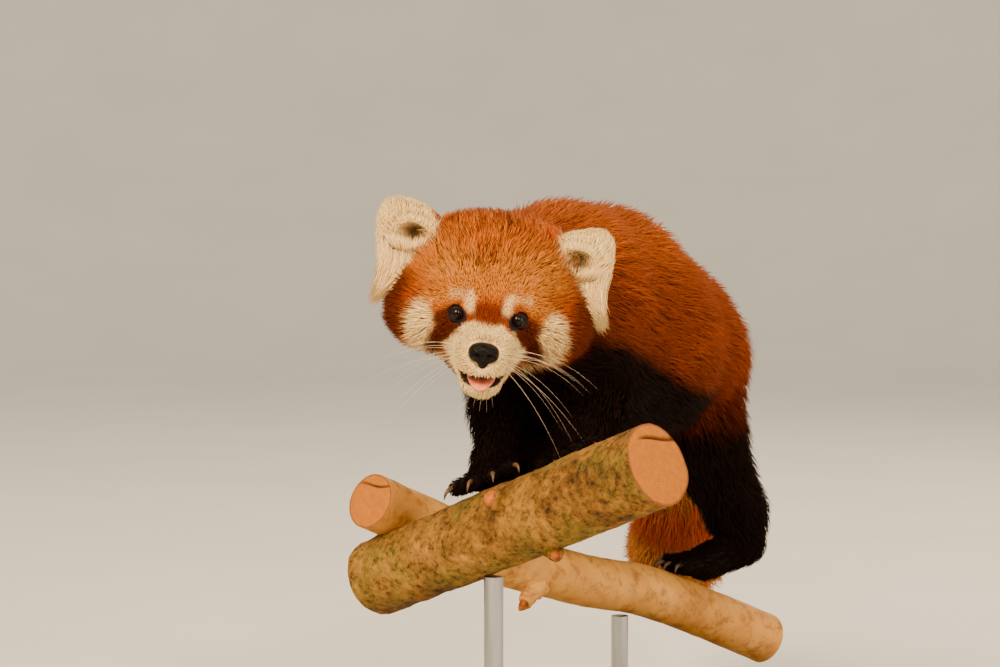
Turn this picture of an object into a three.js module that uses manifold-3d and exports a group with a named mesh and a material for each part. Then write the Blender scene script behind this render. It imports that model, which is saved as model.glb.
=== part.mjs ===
// A red panda stepping along two crossed branches, as a still, life-size display model on a plain stand.
//
// Units are millimetres and +Z is up. The head looks along -Y, +X is on the viewer's right, and the
// origin is the middle of the underside of the stand's base. The animal is first laid out round the
// point that the viewer looks at, and the whole group is then lifted and moved onto the base.
//
// The flesh is one smooth form: a trunk and six limbs, each a chain of tapered round links that
// melt into one another. It is parted into head, neck, torso, legs, paws and tail with thin cuts.
import * as THREE from "three";
import { mergeVertices } from "three/addons/utils/BufferGeometryUtils.js";
import Module from "manifold-3d";

const wasm = await Module();
wasm.setup();
const at = (x, y, z) => new THREE.Vector3(x, y, z);

// Driving dimensions
const GAP = 0.3; // between two pieces that touch
const HEAD_ROLL = THREE.MathUtils.degToRad(6.5); // the viewer's right side is lower
const HEAD_PITCH = THREE.MathUtils.degToRad(5); // nose down
const HEAD_CENTRE = at(-6, 12, 36);
const EYE_RADIUS = 8;
const EAR_SPREAD = 65; // from the middle of the head to the middle of an ear
const BASE_SIZE = at(330, 470, 22);
const BASE_CENTRE = at(92, 200, -392); // its underside, seen from the point looked at
const ROD_RADIUS = 7;

// Grid steps of the faceted surfaces
const FINE = 12.4;
const MEDIUM = 16;
const COARSE = 25;
const PAW_STEP = { forepaw_right: 8, hindpaw_left: 9.7, forepaw_left: 10, hindpaw_right: 12 };

// Landmarks of the body, with the radius of the coat round each
const link = (from, r1, to, r2) => ({ from, to, r1, r2 });
const NAPE = at(2, 48, 22);
const WITHERS = at(43, 120, 24);
const CHEST = at(37, 92, -36);
const MID_BACK = at(79, 205, 20);
const BELLY = at(97, 225, -25);
const RUMP = at(129, 332, -27);
const TRUNK = [
  link(NAPE, 56, WITHERS, 64),
  link(NAPE, 44, CHEST, 52),
  link(WITHERS, 64, MID_BACK, 65),
  link(CHEST, 52, BELLY, 73),
  link(MID_BACK, 65, RUMP, 68),
  link(BELLY, 73, RUMP, 68),
];

// Each leg runs shoulder or hip, elbow or knee, wrist or hock, heel, and ball of the foot
const LIMBS = {
  foreleg_right: {
    blend: 24,
    links: [
      link(at(14, 84, -44), 34, at(6, 72, -68), 27),
      link(at(6, 72, -68), 27, at(1, 38, -94), 20),
      link(at(0, 38, -94), 20, at(-4, 26, -101), 16.5),
    ],
    paw: { palm: at(-7, 20, -104), radius: 15.5, toes: [at(-31, 2, -112), at(9, -8, -96)], toe: 7 },
    root: { point: at(7, 74, -74), along: at(-0.1, -0.55, -0.83) },
    wrist: { point: at(-2, 36, -96), along: at(-0.45, -0.75, -0.48) },
  },
  foreleg_left: {
    blend: 24,
    links: [
      link(at(66, 78, -38), 34, at(66, 56, -60), 28),
      link(at(66, 56, -60), 28, at(56, 22, -82), 21),
      link(at(56, 22, -82), 21, at(52, 12, -89), 18),
    ],
    paw: { palm: at(48, 4, -94), radius: 15.5, toes: [at(30, -15, -95), at(64, -26, -77)], toe: 7 },
    root: { point: at(64, 46, -66), along: at(-0.25, -0.75, -0.6) },
    wrist: { point: at(55, 19, -84), along: at(-0.3, -0.8, -0.5) },
  },
  hindleg_left: {
    blend: 28,
    links: [
      link(at(160, 322, -43), 52, at(166, 278, -96), 39),
      link(at(166, 278, -96), 39, at(201, 320, -168), 27),
      link(at(201, 320, -168), 27, at(208, 322, -193), 20),
    ],
    paw: { palm: at(172, 296, -209), radius: 16, toes: [at(145, 296, -208), at(155, 270, -208)], toe: 8.2 },
    heel: at(207, 322, -198),
    root: { point: at(166, 286, -86), along: at(0.2, 0.1, -0.97) },
    wrist: { point: at(203, 320, -181), along: at(-0.1, 0, -0.99) },
  },
  hindleg_right: {
    blend: 28,
    links: [
      link(at(108, 318, -42), 50, at(78, 218, -86), 37),
      link(at(78, 218, -86), 37, at(74, 218, -134), 26),
      link(at(74, 218, -134), 26, at(70, 212, -152), 20),
    ],
    paw: { palm: at(38, 180, -164), radius: 16, toes: [at(12, 172, -156), at(26, 150, -160)], toe: 8.2 },
    heel: at(68, 210, -152),
    root: { point: at(80, 226, -92), along: at(-0.1, -0.1, -0.98) },
    wrist: { point: at(71, 214, -144), along: at(-0.2, -0.2, -0.95) },
  },
};

// The tail hangs behind the left leg and trails away from the viewer
const TAIL_POINTS = [
  at(136, 358, -38),
  at(152, 404, -92),
  at(163, 424, -160),
  at(163, 450, -205),
  at(165, 510, -230),
  at(168, 578, -229),
  at(171, 640, -212),
  at(173, 674, -196),
];
const TAIL_RADII = [38, 37, 41, 43, 43, 42, 36, 20];
const TAIL_CUTS = [0.25, 0.5, 0.75]; // shares of its length where it is parted

// Branches: axis and radius. The front one is cut square and points at the viewer's right.
const FRONT_AXIS = [at(-92, 66.5, -187.2), at(106.7, -112, -82.9)];
const FRONT_RADII = [29.5, 30];
const REAR_AXIS = [
  at(-96, 40, -126),
  at(-60, 80, -147),
  at(0, 140, -182),
  at(70, 207, -211),
  at(115, 250, -224.5),
  at(167, 293, -249),
  at(228, 341, -281),
];
const REAR_RADII = [20.5, 22];

// Distance fields

function linkField({ from, to, r1, r2 }) {
  const d = to.clone().sub(from);
  const squared = d.lengthSq();
  return (x, y, z) => {
    const px = x - from.x;
    const py = y - from.y;
    const pz = z - from.z;
    const t = Math.min(1, Math.max(0, (px * d.x + py * d.y + pz * d.z) / squared));
    return Math.hypot(px - t * d.x, py - t * d.y, pz - t * d.z) - (r1 + (r2 - r1) * t);
  };
}

function ellipsoidField(centre, radii) {
  return (x, y, z) => {
    const qx = (x - centre.x) / radii.x;
    const qy = (y - centre.y) / radii.y;
    const qz = (z - centre.z) / radii.z;
    const k0 = Math.hypot(qx, qy, qz);
    const k1 = Math.hypot(qx / radii.x, qy / radii.y, qz / radii.z);
    return k0 < 1e-6 ? -Math.min(radii.x, radii.y, radii.z) : (k0 * (k0 - 1)) / k1;
  };
}

const melt = (a, b, k) => {
  const h = Math.max(k - Math.abs(a - b), 0) / k;
  return Math.min(a, b) - (h * h * k) / 4;
};

const melted = (fields, k) => (x, y, z) => fields.reduce((d, f) => melt(d, f(x, y, z), k), 1e3);

// The head, in its own axes: +X the viewer's right, +Y to the back, +Z up, origin in the middle of the skull
const headTurn = new THREE.Matrix4()
  .makeRotationY(HEAD_ROLL)
  .multiply(new THREE.Matrix4().makeRotationX(HEAD_PITCH))
  .setPosition(HEAD_CENTRE);
const headBack = headTurn.clone().invert();
const toWorld = (x, y, z) => at(x, y, z).applyMatrix4(headTurn);
const inHead = (field) => {
  const e = headBack.elements;
  return (x, y, z) =>
    field(
      e[0] * x + e[4] * y + e[8] * z + e[12],
      e[1] * x + e[5] * y + e[9] * z + e[13],
      e[2] * x + e[6] * y + e[10] * z + e[14],
    );
};
const mirrored = (make) => [make(-1), make(1)];
const EYE = (side) => at(side * 21.3, -44.5, -18.8);
const NOSE = at(0, -91, -39.5);
const headLocal = melted(
  [
    ellipsoidField(at(0, 8, 0), at(66, 58, 55)),
    ...mirrored((side) => ellipsoidField(at(side * 40, 0, -24), at(37, 40, 31))),
    ...mirrored((side) => ellipsoidField(at(side * 20, -34, -2), at(17, 16, 14))),
    linkField(link(at(0, -40, -30), 28, at(0, -78, -41), 18)),
    linkField(link(at(0, -16, -46), 27, at(0, -64, -58.5), 14.5)),
  ],
  16,
);
const headField = inHead(headLocal);

const trunkField = melted(TRUNK.map(linkField), 26);
const bodyWithHead = (x, y, z) => melt(trunkField(x, y, z), headField(x, y, z), 22);

function limbField({ links, blend }) {
  const limb = melted(links.map(linkField), 12);
  return (x, y, z) => melt(trunkField(x, y, z), limb(x, y, z), blend);
}

function tailField() {
  const links = TAIL_POINTS.slice(1).map((p, i) =>
    link(TAIL_POINTS[i], TAIL_RADII[i], p, TAIL_RADII[i + 1]),
  );
  const tail = melted(links.map(linkField), 20);
  return (x, y, z) => melt(trunkField(x, y, z), tail(x, y, z), 22);
}

// Solids

function solid(geometry) {
  const bare = geometry.clone();
  for (const name of Object.keys(bare.attributes)) if (name !== "position") bare.deleteAttribute(name);
  const merged = mergeVertices(bare, 1e-4);
  return new wasm.Manifold(
    new wasm.Mesh({
      numProp: 3,
      vertProperties: new Float32Array(merged.attributes.position.array),
      triVerts: new Uint32Array(merged.index.array),
    }),
  );
}

function closed(positions, faces) {
  const geometry = new THREE.BufferGeometry();
  geometry.setAttribute("position", new THREE.Float32BufferAttribute(positions, 3));
  geometry.setIndex(faces);
  return solid(geometry);
}

function geometryOf(made) {
  const mesh = made.getMesh();
  const positions = new Float32Array(mesh.numVert * 3);
  for (let i = 0; i < mesh.numVert; i++) {
    const start = i * mesh.numProp;
    positions.set(mesh.vertProperties.subarray(start, start + 3), i * 3);
  }
  const geometry = new THREE.BufferGeometry();
  geometry.setAttribute("position", new THREE.BufferAttribute(positions, 3));
  geometry.setIndex(new THREE.BufferAttribute(new Uint32Array(mesh.triVerts), 1));
  geometry.computeVertexNormals();
  return geometry;
}

const largest = (made) =>
  made.decompose().reduce((best, piece) => (piece.volume() > best.volume() ? piece : best));

const corners = [0, 1, 2, 3, 4, 5, 6, 7].map((c) => [c & 1, (c >> 1) & 1, c >> 2]);
const edges = [];
for (const a of corners.keys())
  for (const bit of [1, 2, 4]) if (!(a & bit)) edges.push([a, a | bit]);

// Whether the corners of a grid cell that a mask picks hang together along its edges
function inOnePiece(mask) {
  if (mask === 0) return true;
  let seen = mask & -mask;
  for (let grown = 0; grown !== seen; ) {
    grown = seen;
    for (const [a, b] of edges) {
      const both = (1 << a) | (1 << b);
      if ((mask & both) === both && seen & both) seen |= both;
    }
  }
  return seen === mask;
}
const pinched = Array.from({ length: 256 }, (_, mask) => !inOnePiece(mask) || !inOnePiece(255 - mask));

// Fill the cells where the surface would touch itself along an edge
function fillPinches(value, [nx, ny, nz], index) {
  for (let changed = true; changed; ) {
    changed = false;
    for (let k = 0; k < nz - 1; k++)
      for (let j = 0; j < ny - 1; j++)
        for (let i = 0; i < nx - 1; i++) {
          const cells = corners.map(([a, b, c]) => index(i + a, j + b, k + c));
          const mask = cells.reduce((m, c, n) => (value[c] < 0 ? m | (1 << n) : m), 0);
          if (!pinched[mask]) continue;
          const outside = cells.filter((c) => value[c] >= 0);
          const nearest = outside.reduce((best, c) => (value[c] < value[best] ? c : best));
          value[nearest] = -1e-3;
          changed = true;
        }
  }
}

// One closed surface where the field is zero, with a point in every grid cell that it passes through
function surfaceOf(field, low, high, step) {
  const count = ["x", "y", "z"].map((k) => Math.ceil((high[k] - low[k]) / step) + 1);
  const [nx, ny, nz] = count;
  const index = (i, j, k) => i + nx * (j + ny * k);
  const value = new Float32Array(nx * ny * nz);
  for (let k = 0; k < nz; k++)
    for (let j = 0; j < ny; j++)
      for (let i = 0; i < nx; i++) {
        const edge = i === 0 || j === 0 || k === 0 || i === nx - 1 || j === ny - 1 || k === nz - 1;
        const d = field(low.x + i * step, low.y + j * step, low.z + k * step);
        value[index(i, j, k)] = edge ? Math.max(d, step / 2) : d;
      }
  fillPinches(value, count, index);
  const positions = [];
  const vertexOf = new Map();
  for (let k = 0; k < nz - 1; k++)
    for (let j = 0; j < ny - 1; j++)
      for (let i = 0; i < nx - 1; i++) {
        const values = corners.map(([a, b, c]) => value[index(i + a, j + b, k + c)]);
        const inside = values.filter((v) => v < 0).length;
        if (inside === 0 || inside === 8) continue;
        const sum = [0, 0, 0];
        let crossings = 0;
        for (const [a, b] of edges) {
          if (values[a] < 0 === values[b] < 0) continue;
          const t = values[a] / (values[a] - values[b]);
          for (const n of [0, 1, 2]) sum[n] += corners[a][n] + t * (corners[b][n] - corners[a][n]);
          crossings++;
        }
        vertexOf.set(index(i, j, k), positions.length / 3);
        positions.push(
          low.x + (i + sum[0] / crossings) * step,
          low.y + (j + sum[1] / crossings) * step,
          low.z + (k + sum[2] / crossings) * step,
        );
      }
  const faces = [];
  const strides = [1, nx, nx * ny];
  for (let k = 0; k < nz - 1; k++)
    for (let j = 0; j < ny - 1; j++)
      for (let i = 0; i < nx - 1; i++) {
        const cell = [i, j, k];
        const here = index(i, j, k);
        for (const axis of [0, 1, 2]) {
          const there = here + strides[axis];
          if (value[here] < 0 === value[there] < 0) continue;
          if (cell[(axis + 1) % 3] === 0 || cell[(axis + 2) % 3] === 0) continue;
          const [u, v] = [strides[(axis + 1) % 3], strides[(axis + 2) % 3]];
          const ring = [here, here - u, here - u - v, here - v].map((c) => vertexOf.get(c));
          if (value[here] >= 0) ring.reverse();
          const [a, b, c, d] = ring;
          faces.push(a, b, c, a, c, d);
        }
      }
  return closed(positions, faces);
}

// A box that starts on a plane and runs along a direction from it
function block(point, along, halfWidth, length, inset = 0) {
  const turn = new THREE.Quaternion().setFromUnitVectors(at(0, 0, 1), along.clone().normalize());
  const box = new THREE.BoxGeometry(2 * halfWidth, 2 * halfWidth, length);
  box.translate(0, 0, length / 2 + inset);
  box.applyQuaternion(turn);
  box.translate(point.x, point.y, point.z);
  return solid(box);
}

// A tube of many sides along a smooth curve, with a rounded or flat end
function tube(points, radii, sides, steps) {
  const curve = new THREE.CatmullRomCurve3(points);
  const frames = curve.computeFrenetFrames(steps, false);
  const positions = [];
  for (let s = 0; s <= steps; s++) {
    const p = curve.getPointAt(s / steps);
    const r = radii(s / steps);
    for (let n = 0; n < sides; n++) {
      const a = (2 * Math.PI * n) / sides;
      const out = frames.normals[s].clone().multiplyScalar(Math.cos(a) * r);
      out.addScaledVector(frames.binormals[s], Math.sin(a) * r);
      positions.push(p.x + out.x, p.y + out.y, p.z + out.z);
    }
  }
  const faces = [];
  for (let s = 0; s < steps; s++)
    for (let n = 0; n < sides; n++) {
      const a = s * sides + n;
      const b = s * sides + ((n + 1) % sides);
      faces.push(a, b, b + sides, a, b + sides, a + sides);
    }
  const first = positions.length / 3;
  for (const s of [0, steps]) {
    const p = curve.getPointAt(s / steps);
    positions.push(p.x, p.y, p.z);
  }
  for (let n = 0; n < sides; n++) {
    const m = (n + 1) % sides;
    faces.push(first, m, n);
    faces.push(first + 1, steps * sides + n, steps * sides + m);
  }
  return closed(positions, faces);
}

// Locks of long hair. Each is flat, tapered and bent, with a low ridge, and its root is sunk in the
// core of the coat. From there it climbs to the outline of the coat, lying along the body.

const COAT = 14; // from the core of the body's coat to its outline
const NAPE_COAT = 4;
const TAIL_COAT = 17;
const ROOT_SINK = 5;

function slopeAt(field, p) {
  const h = 1.5;
  return at(
    field(p.x + h, p.y, p.z) - field(p.x - h, p.y, p.z),
    field(p.x, p.y + h, p.z) - field(p.x, p.y - h, p.z),
    field(p.x, p.y, p.z + h) - field(p.x, p.y, p.z - h),
  ).normalize();
}

function onSurface(field, from, out) {
  let low = 0;
  let high = 170;
  for (let n = 0; n < 16; n++) {
    const middle = (low + high) / 2;
    const p = from.clone().addScaledVector(out, middle);
    if (field(p.x, p.y, p.z) < 0) low = middle;
    else high = middle;
  }
  return from.clone().addScaledVector(out, low);
}

const LOCK_SHARES = [0.72, 1, 0.8, 0.5];
function lockAlong(path, normals, width, ridge, round) {
  const steps = path.length - 1;
  const positions = [];
  for (let n = 0; n < steps; n++) {
    const tangent = path[n + 1].clone().sub(path[Math.max(n - 1, 0)]).normalize();
    const across = new THREE.Vector3().crossVectors(normals[n], tangent).normalize();
    const lift = new THREE.Vector3().crossVectors(tangent, across);
    const w = (LOCK_SHARES[n] * width) / 2;
    const d = LOCK_SHARES[n] * ridge;
    const sag = d / 2 + (w * w) / (2 * round);
    for (const [a, b] of [[w, -sag], [0, d / 2], [-w, -sag]]) {
      const q = path[n].clone().addScaledVector(across, a).addScaledVector(lift, b);
      positions.push(q.x, q.y, q.z);
    }
  }
  positions.push(path[steps].x, path[steps].y, path[steps].z);
  const faces = [0, 2, 1];
  for (let k = 0; k < 3; k++) {
    const m = (k + 1) % 3;
    for (let n = 0; n < steps - 1; n++) {
      const a = 3 * n + k;
      const b = 3 * n + m;
      faces.push(a, b, b + 3, a, b + 3, a + 3);
    }
    faces.push(3 * (steps - 1) + k, 3 * (steps - 1) + m, 3 * steps);
  }
  return closed(positions, faces);
}

function lockOn(core, { root, lie, length, width, ridge, rise, round, bend = 0, steps = 3 }) {
  const up = slopeAt(core, root);
  const along = lie.clone().addScaledVector(up, -lie.dot(up)).normalize();
  const side = new THREE.Vector3().crossVectors(up, along);
  const path = [];
  for (let n = 0; n <= steps; n++) {
    const t = n / steps;
    const p = root.clone().addScaledVector(along, length * t).addScaledVector(side, bend * t * t);
    const height = -ROOT_SINK + (rise + ROOT_SINK) * Math.pow(t, 0.55);
    for (let turn = 0; turn < 2; turn++) {
      p.addScaledVector(slopeAt(core, p), height - core(p.x, p.y, p.z));
    }
    path.push(p);
  }
  return lockAlong(path, path.map((p) => slopeAt(core, p)), width, ridge, round);
}

// The same seeded draw each time
let seed = 21;
function draw(low, high) {
  seed = (seed * 16807) % 2147483647;
  return low + ((high - low) * seed) / 2147483647;
}

const BRANCH_SIDES = 14;
const frontBranch = (extra = 0) =>
  tube(FRONT_AXIS, (t) => FRONT_RADII[0] + (FRONT_RADII[1] - FRONT_RADII[0]) * t + extra, BRANCH_SIDES, 3);
const rearBranch = (extra = 0) =>
  tube(REAR_AXIS, (t) => REAR_RADII[0] + (REAR_RADII[1] - REAR_RADII[0]) * t + extra, BRANCH_SIDES, 9);

// Draw apart the corners of a surface that touch one another, each towards its own neighbours
const TOUCHING = 0.002;
const DRAWN_APART = 0.05;
function cleaned(made) {
  const geometry = geometryOf(largest(made));
  const { array } = geometry.attributes.position;
  const faces = geometry.index.array;
  const middles = Array.from({ length: array.length / 3 }, () => [0, 0, 0, 0]);
  for (let n = 0; n < faces.length; n++) {
    const next = faces[n % 3 === 2 ? n - 2 : n + 1];
    for (const [from, to] of [[faces[n], next], [next, faces[n]]]) {
      for (const c of [0, 1, 2]) middles[from][c] += array[3 * to + c];
      middles[from][3]++;
    }
  }
  const places = new Map();
  middles.forEach((_, v) => {
    const key = [0, 1, 2].map((c) => Math.round(array[3 * v + c] / TOUCHING)).join();
    places.set(key, (places.get(key) ?? []).concat(v));
  });
  for (const together of places.values()) {
    if (together.length < 2) continue;
    for (const v of together) {
      const here = at(...array.subarray(3 * v, 3 * v + 3));
      const middle = at(...middles[v].slice(0, 3)).divideScalar(middles[v][3]);
      const way = middle.sub(here);
      here.addScaledVector(way.normalize(), DRAWN_APART);
      array.set([here.x, here.y, here.z], 3 * v);
    }
  }
  return largest(solid(geometry));
}

const parts = {};
const COLOURS = {
  rust: 0x9c4a1c,
  face: 0xd99a5c,
  black: 0x1d1410,
  cream: 0xefe0c6,
  nose: 0x17110f,
  tongue: 0xd9868c,
  eye: 0x24140c,
  bark: 0x6f5f44,
  tan: 0xb28a5c,
  wood: 0xd8a869,
  stand: 0x2b2d30,
};
function keep(name, made, colour, roughness = 0.85) {
  parts[name] = { made: cleaned(made), colour, roughness };
}

// Regions of the body, each a box that starts at a cut
const NECK_CUT = { point: at(-1, 56, 26), along: at(-0.06, -0.98, 0.02) };
const TORSO_CUT = { point: at(30, 104, 4), along: at(-0.36, -0.93, 0.02) };
const TAIL_ROOT = { point: at(139, 366, -44), along: at(0.2, 0.72, -0.66) };

const TAIL_PAST = { point: at(152, 404, -82), along: at(0.15, 0.45, -0.88) };
const headBlock = (inset) => block(NECK_CUT.point, NECK_CUT.along, 130, 320, inset);
const neckBlock = (inset) => block(TORSO_CUT.point, TORSO_CUT.along, 150, 320, inset);
const tailBlock = (inset) => block(TAIL_ROOT.point, TAIL_ROOT.along, 40 - inset, 60, inset);
const tailPast = (inset) => block(TAIL_PAST.point, TAIL_PAST.along, 420, 420, inset);

const FOOT_CUTS = {
  foreleg_right: 60,
  foreleg_left: 60,
  hindleg_left: 90,
  hindleg_right: 90,
};

// Lay the toes side by side along the front of a paw, each with a hooked claw
const TOES = 4;
const HEEL_RADIUS = 18;
function pawOf(limb) {
  const { paw, links, heel } = limb;
  const last = links[links.length - 1];
  const start = heel ?? last.to;
  const fields = [linkField(link(start, HEEL_RADIUS, paw.palm, paw.radius))];
  const forward = paw.toes[0].clone().add(paw.toes[1]).multiplyScalar(0.5).sub(paw.palm).normalize();
  const claws = [];
  for (let n = 0; n < TOES; n++) {
    const tip = paw.toes[0].clone().lerp(paw.toes[1], n / (TOES - 1));
    const arch = Math.sin((Math.PI * (n + 0.6)) / (TOES + 0.2));
    tip.addScaledVector(forward, 7 * arch);
    const knuckle = paw.palm.clone().lerp(tip, 0.45);
    fields.push(linkField(link(knuckle, paw.toe + 1.5, tip, paw.toe)));
    claws.push({ tip, out: tip.clone().sub(knuckle).normalize() });
  }
  return { field: melted(fields, 4), claws };
}

function claw({ tip, out }, toe) {
  const root = tip.clone().addScaledVector(out, toe * 0.35);
  const middle = tip.clone().addScaledVector(out, toe + 4);
  const point = tip.clone().addScaledVector(out, toe + 8);
  middle.z += 0.5;
  point.z -= 5;
  return tube([root, middle, point], (t) => 2.4 * (1 - t) + 0.5, 4, 3);
}

function boundsOf(points, margin) {
  const box = new THREE.Box3().setFromPoints(points).expandByScalar(margin);
  return [box.min, box.max];
}

function stub(from, to, radius) {
  return tube([from, from.clone().lerp(to, 0.5), to], (t) => radius * (1.25 - 0.25 * t), 10, 3);
}
const frontStubs = (extra) => [
  stub(at(-14, -6, -122), at(-11, -27, -109 + extra), 6 + extra),
  stub(at(32, -38, -148), at(39, -62, -157 - extra), 7.5 + extra),
];
const rearStub = (extra) => stub(at(30, 158, -205), at(15, 124, -221 - extra), 6 + extra);
const wood = frontStubs(GAP).reduce(
  (made, one) => made.add(one),
  frontBranch(GAP).add(rearBranch(GAP)).add(rearStub(GAP)),
);

const HEAD_SPAN = [at(-100, -110, -60), at(96, 92, 116)];
const headShell = surfaceOf((x, y, z) => bodyWithHead(x, y, z) - 0.6, ...HEAD_SPAN, FINE);
const headZone = headShell.intersect(headBlock(-GAP / 2));

// Trunk with the tops of the limbs
const trunkParts = Object.values(LIMBS).map((limb) => melted(limb.links.slice(0, 1).map(linkField), 12));
const trunkWhole = (x, y, z) => {
  let d = trunkField(x, y, z);
  trunkParts.forEach((top, n) => (d = melt(d, top(x, y, z), Object.values(LIMBS)[n].blend)));
  return d;
};

const [torsoLow, torsoHigh] = boundsOf(
  TRUNK.flatMap((l) => [l.from, l.to]).concat(Object.values(LIMBS).map((l) => l.links[0].to)),
  84,
);
const coatAt = (y) => NAPE_COAT + (COAT - NAPE_COAT) * THREE.MathUtils.smoothstep(y, 40, 150);
const trunkCore = (x, y, z) => trunkWhole(x, y, z) + coatAt(y);
let torso = surfaceOf(trunkCore, torsoLow, torsoHigh, COARSE);

// Body coat in staggered rings, from the nape back to the rump
const BODY_RINGS = 6;
const RING_LOCKS = 7;
const backLine = new THREE.CatmullRomCurve3([
  NAPE.clone().lerp(CHEST, 0.25).add(at(-8, -18, 0)),
  WITHERS.clone().lerp(CHEST, 0.45),
  MID_BACK.clone().lerp(BELLY, 0.5),
  RUMP,
  RUMP.clone().add(at(10, 30, 4)),
]);
for (let ring = 0; ring < BODY_RINGS; ring++) {
  const t = (ring + 0.2) / (BODY_RINGS - 0.4);
  const centre = backLine.getPointAt(t);
  const back = backLine.getTangentAt(t);
  const left = new THREE.Vector3().crossVectors(back, at(0, 0, 1)).normalize();
  const above = new THREE.Vector3().crossVectors(left, back).normalize();
  for (let n = 0; n < RING_LOCKS; n++) {
    const angle = (2 * Math.PI * (n + (ring % 2) / 2)) / RING_LOCKS;
    const out = left.clone().multiplyScalar(Math.sin(angle)).addScaledVector(above, Math.cos(angle));
    const flank = Math.abs(Math.sin(angle));
    torso = torso.add(
      lockOn(trunkCore, {
        root: onSurface(trunkCore, centre, out),
        lie: back.clone().add(at(0, 0, -0.45 * flank)),
        length: draw(88, 104),
        width: draw(58, 70),
        ridge: draw(7, 9),
        rise: coatAt(centre.y),
        round: 58,
        bend: draw(-8, 8),
      }),
    );
  }
}
let neck = torso.intersect(neckBlock(GAP / 2)).subtract(headBlock(-GAP / 2));
torso = torso.subtract(neckBlock(-GAP / 2)).subtract(tailBlock(-GAP / 2)).subtract(tailPast(-GAP / 2));

const legBlocks = {};
for (const [name, limb] of Object.entries(LIMBS)) {
  const half = name.startsWith("fore") ? 44 : 54;
  legBlocks[name] = (inset) => block(limb.root.point, limb.root.along, half, 200, inset);
}
const takenByFeet = [];
const legs = [];
let thighShell;
for (const [name, limb] of Object.entries(LIMBS)) {
  const [low, high] = boundsOf(
    limb.links.flatMap((l) => [l.from, l.to]).concat([limb.paw.palm, ...limb.paw.toes]),
    58,
  );
  let leg = surfaceOf(limbField(limb), low, high, MEDIUM).intersect(legBlocks[name](GAP / 2));
  if (name === "hindleg_left") {
    const grown = (x, y, z) => limbField(limb)(x, y, z) - 0.8;
    thighShell = surfaceOf(grown, low, high, MEDIUM).intersect(legBlocks[name](-GAP / 2));
  }
  leg = leg.subtract(block(limb.wrist.point, limb.wrist.along, FOOT_CUTS[name], 90, -GAP / 2));
  for (const [other, made] of Object.entries(legBlocks)) {
    if (other === name) break;
    leg = leg.subtract(made(-GAP / 2));
  }
  const { field, claws } = pawOf(limb);
  const [pawLow, pawHigh] = boundsOf([limb.paw.palm, ...limb.paw.toes, limb.heel ?? limb.wrist.point], 40);
  const shin = melted(limb.links.slice(-1).map(linkField), 12);
  const step = PAW_STEP[name.replace("leg", "paw")];
  let foot = surfaceOf((x, y, z) => melt(field(x, y, z), shin(x, y, z), 8), pawLow, pawHigh, step);
  foot = foot.intersect(block(limb.wrist.point, limb.wrist.along, FOOT_CUTS[name], 90, GAP / 2));
  for (const spec of claws) foot = foot.add(claw(spec, limb.paw.toe));
  for (const taken of takenByFeet) foot = foot.subtract(taken);
  takenByFeet.push(
    surfaceOf((x, y, z) => melt(field(x, y, z), shin(x, y, z), 8) - 0.6, pawLow, pawHigh, step),
  );
  torso = torso.subtract(legBlocks[name](-GAP / 2));
  neck = neck.subtract(legBlocks[name](-GAP / 2));
  legs.push([name, leg.subtract(wood).subtract(headZone)]);
  keep(name.replace("leg", "paw"), largest(foot.subtract(wood)), COLOURS.black);
}
keep("torso", largest(torso.subtract(wood)), COLOURS.rust);
keep("neck", largest(neck), COLOURS.rust);

// Head
const inPlace = (geometry) => solid(geometry.applyMatrix4(headTurn));

// The ruff: locks that sweep out and back from each cheek
const RUFF_LOCKS = 6;
const turned = (x, y, z) => at(x, y, z).transformDirection(headTurn);
function ruff(side, extra) {
  return Array.from({ length: RUFF_LOCKS }, (_, n) => {
    const angle = THREE.MathUtils.degToRad(26 - (84 * n) / (RUFF_LOCKS - 1));
    const out = turned(side * Math.cos(angle), n % 2 ? 0.02 : 0.24, Math.sin(angle));
    return lockOn(bodyWithHead, {
      root: onSurface(bodyWithHead, toWorld(side * 34, 4, -20), out),
      lie: turned(side * 0.6, 0.62, -0.5),
      length: 34 + extra,
      width: 25 + 2 * extra,
      ridge: 6 + 2 * extra,
      rise: 8,
      round: 60,
      bend: side * 5,
    });
  });
}
let head = surfaceOf(bodyWithHead, ...HEAD_SPAN, FINE);
for (const side of [-1, 1]) for (const lock of ruff(side, 0)) head = head.add(lock);
head = head.intersect(headBlock(GAP / 2));
for (const [name, leg] of legs) {
  const free = name.startsWith("hind")
    ? leg
    : [-1, 1].flatMap((side) => ruff(side, 1.2)).reduce((made, lock) => made.subtract(lock), leg);
  keep(name, largest(free), COLOURS.black);
}

// The mouth is a wedge that opens forward, and the jaw is what lies under it
function slab(profile, width) {
  const shape = new THREE.Shape(profile.map(([y, z]) => new THREE.Vector2(y, z)));
  const body = new THREE.ExtrudeGeometry(shape, { depth: width, bevelEnabled: false });
  body.rotateX(Math.PI / 2).rotateZ(Math.PI / 2);
  body.translate(-width / 2, 0, 0);
  return body;
}
const lipLine = [
  [-58, -53],
  [-74, -54.5],
  [-120, -54],
];
const chinLine = [
  [-120, -65],
  [-84, -65],
  [-70, -61.5],
];
const mouth = inPlace(slab([...lipLine, ...chinLine], 90));
const jawShape = (grow) => [
  [-58 + grow, -53 + grow],
  [-70 - grow, -61.5 + grow],
  [-84, -65 + grow],
  [-120, -65 + grow],
  [-120, -110],
  [-44 + grow, -110],
  [-44 + grow, -66],
];
const jawRegion = inPlace(slab(jawShape(0), 90));
const jawGrown = inPlace(slab(jawShape(GAP), 90));

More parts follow.
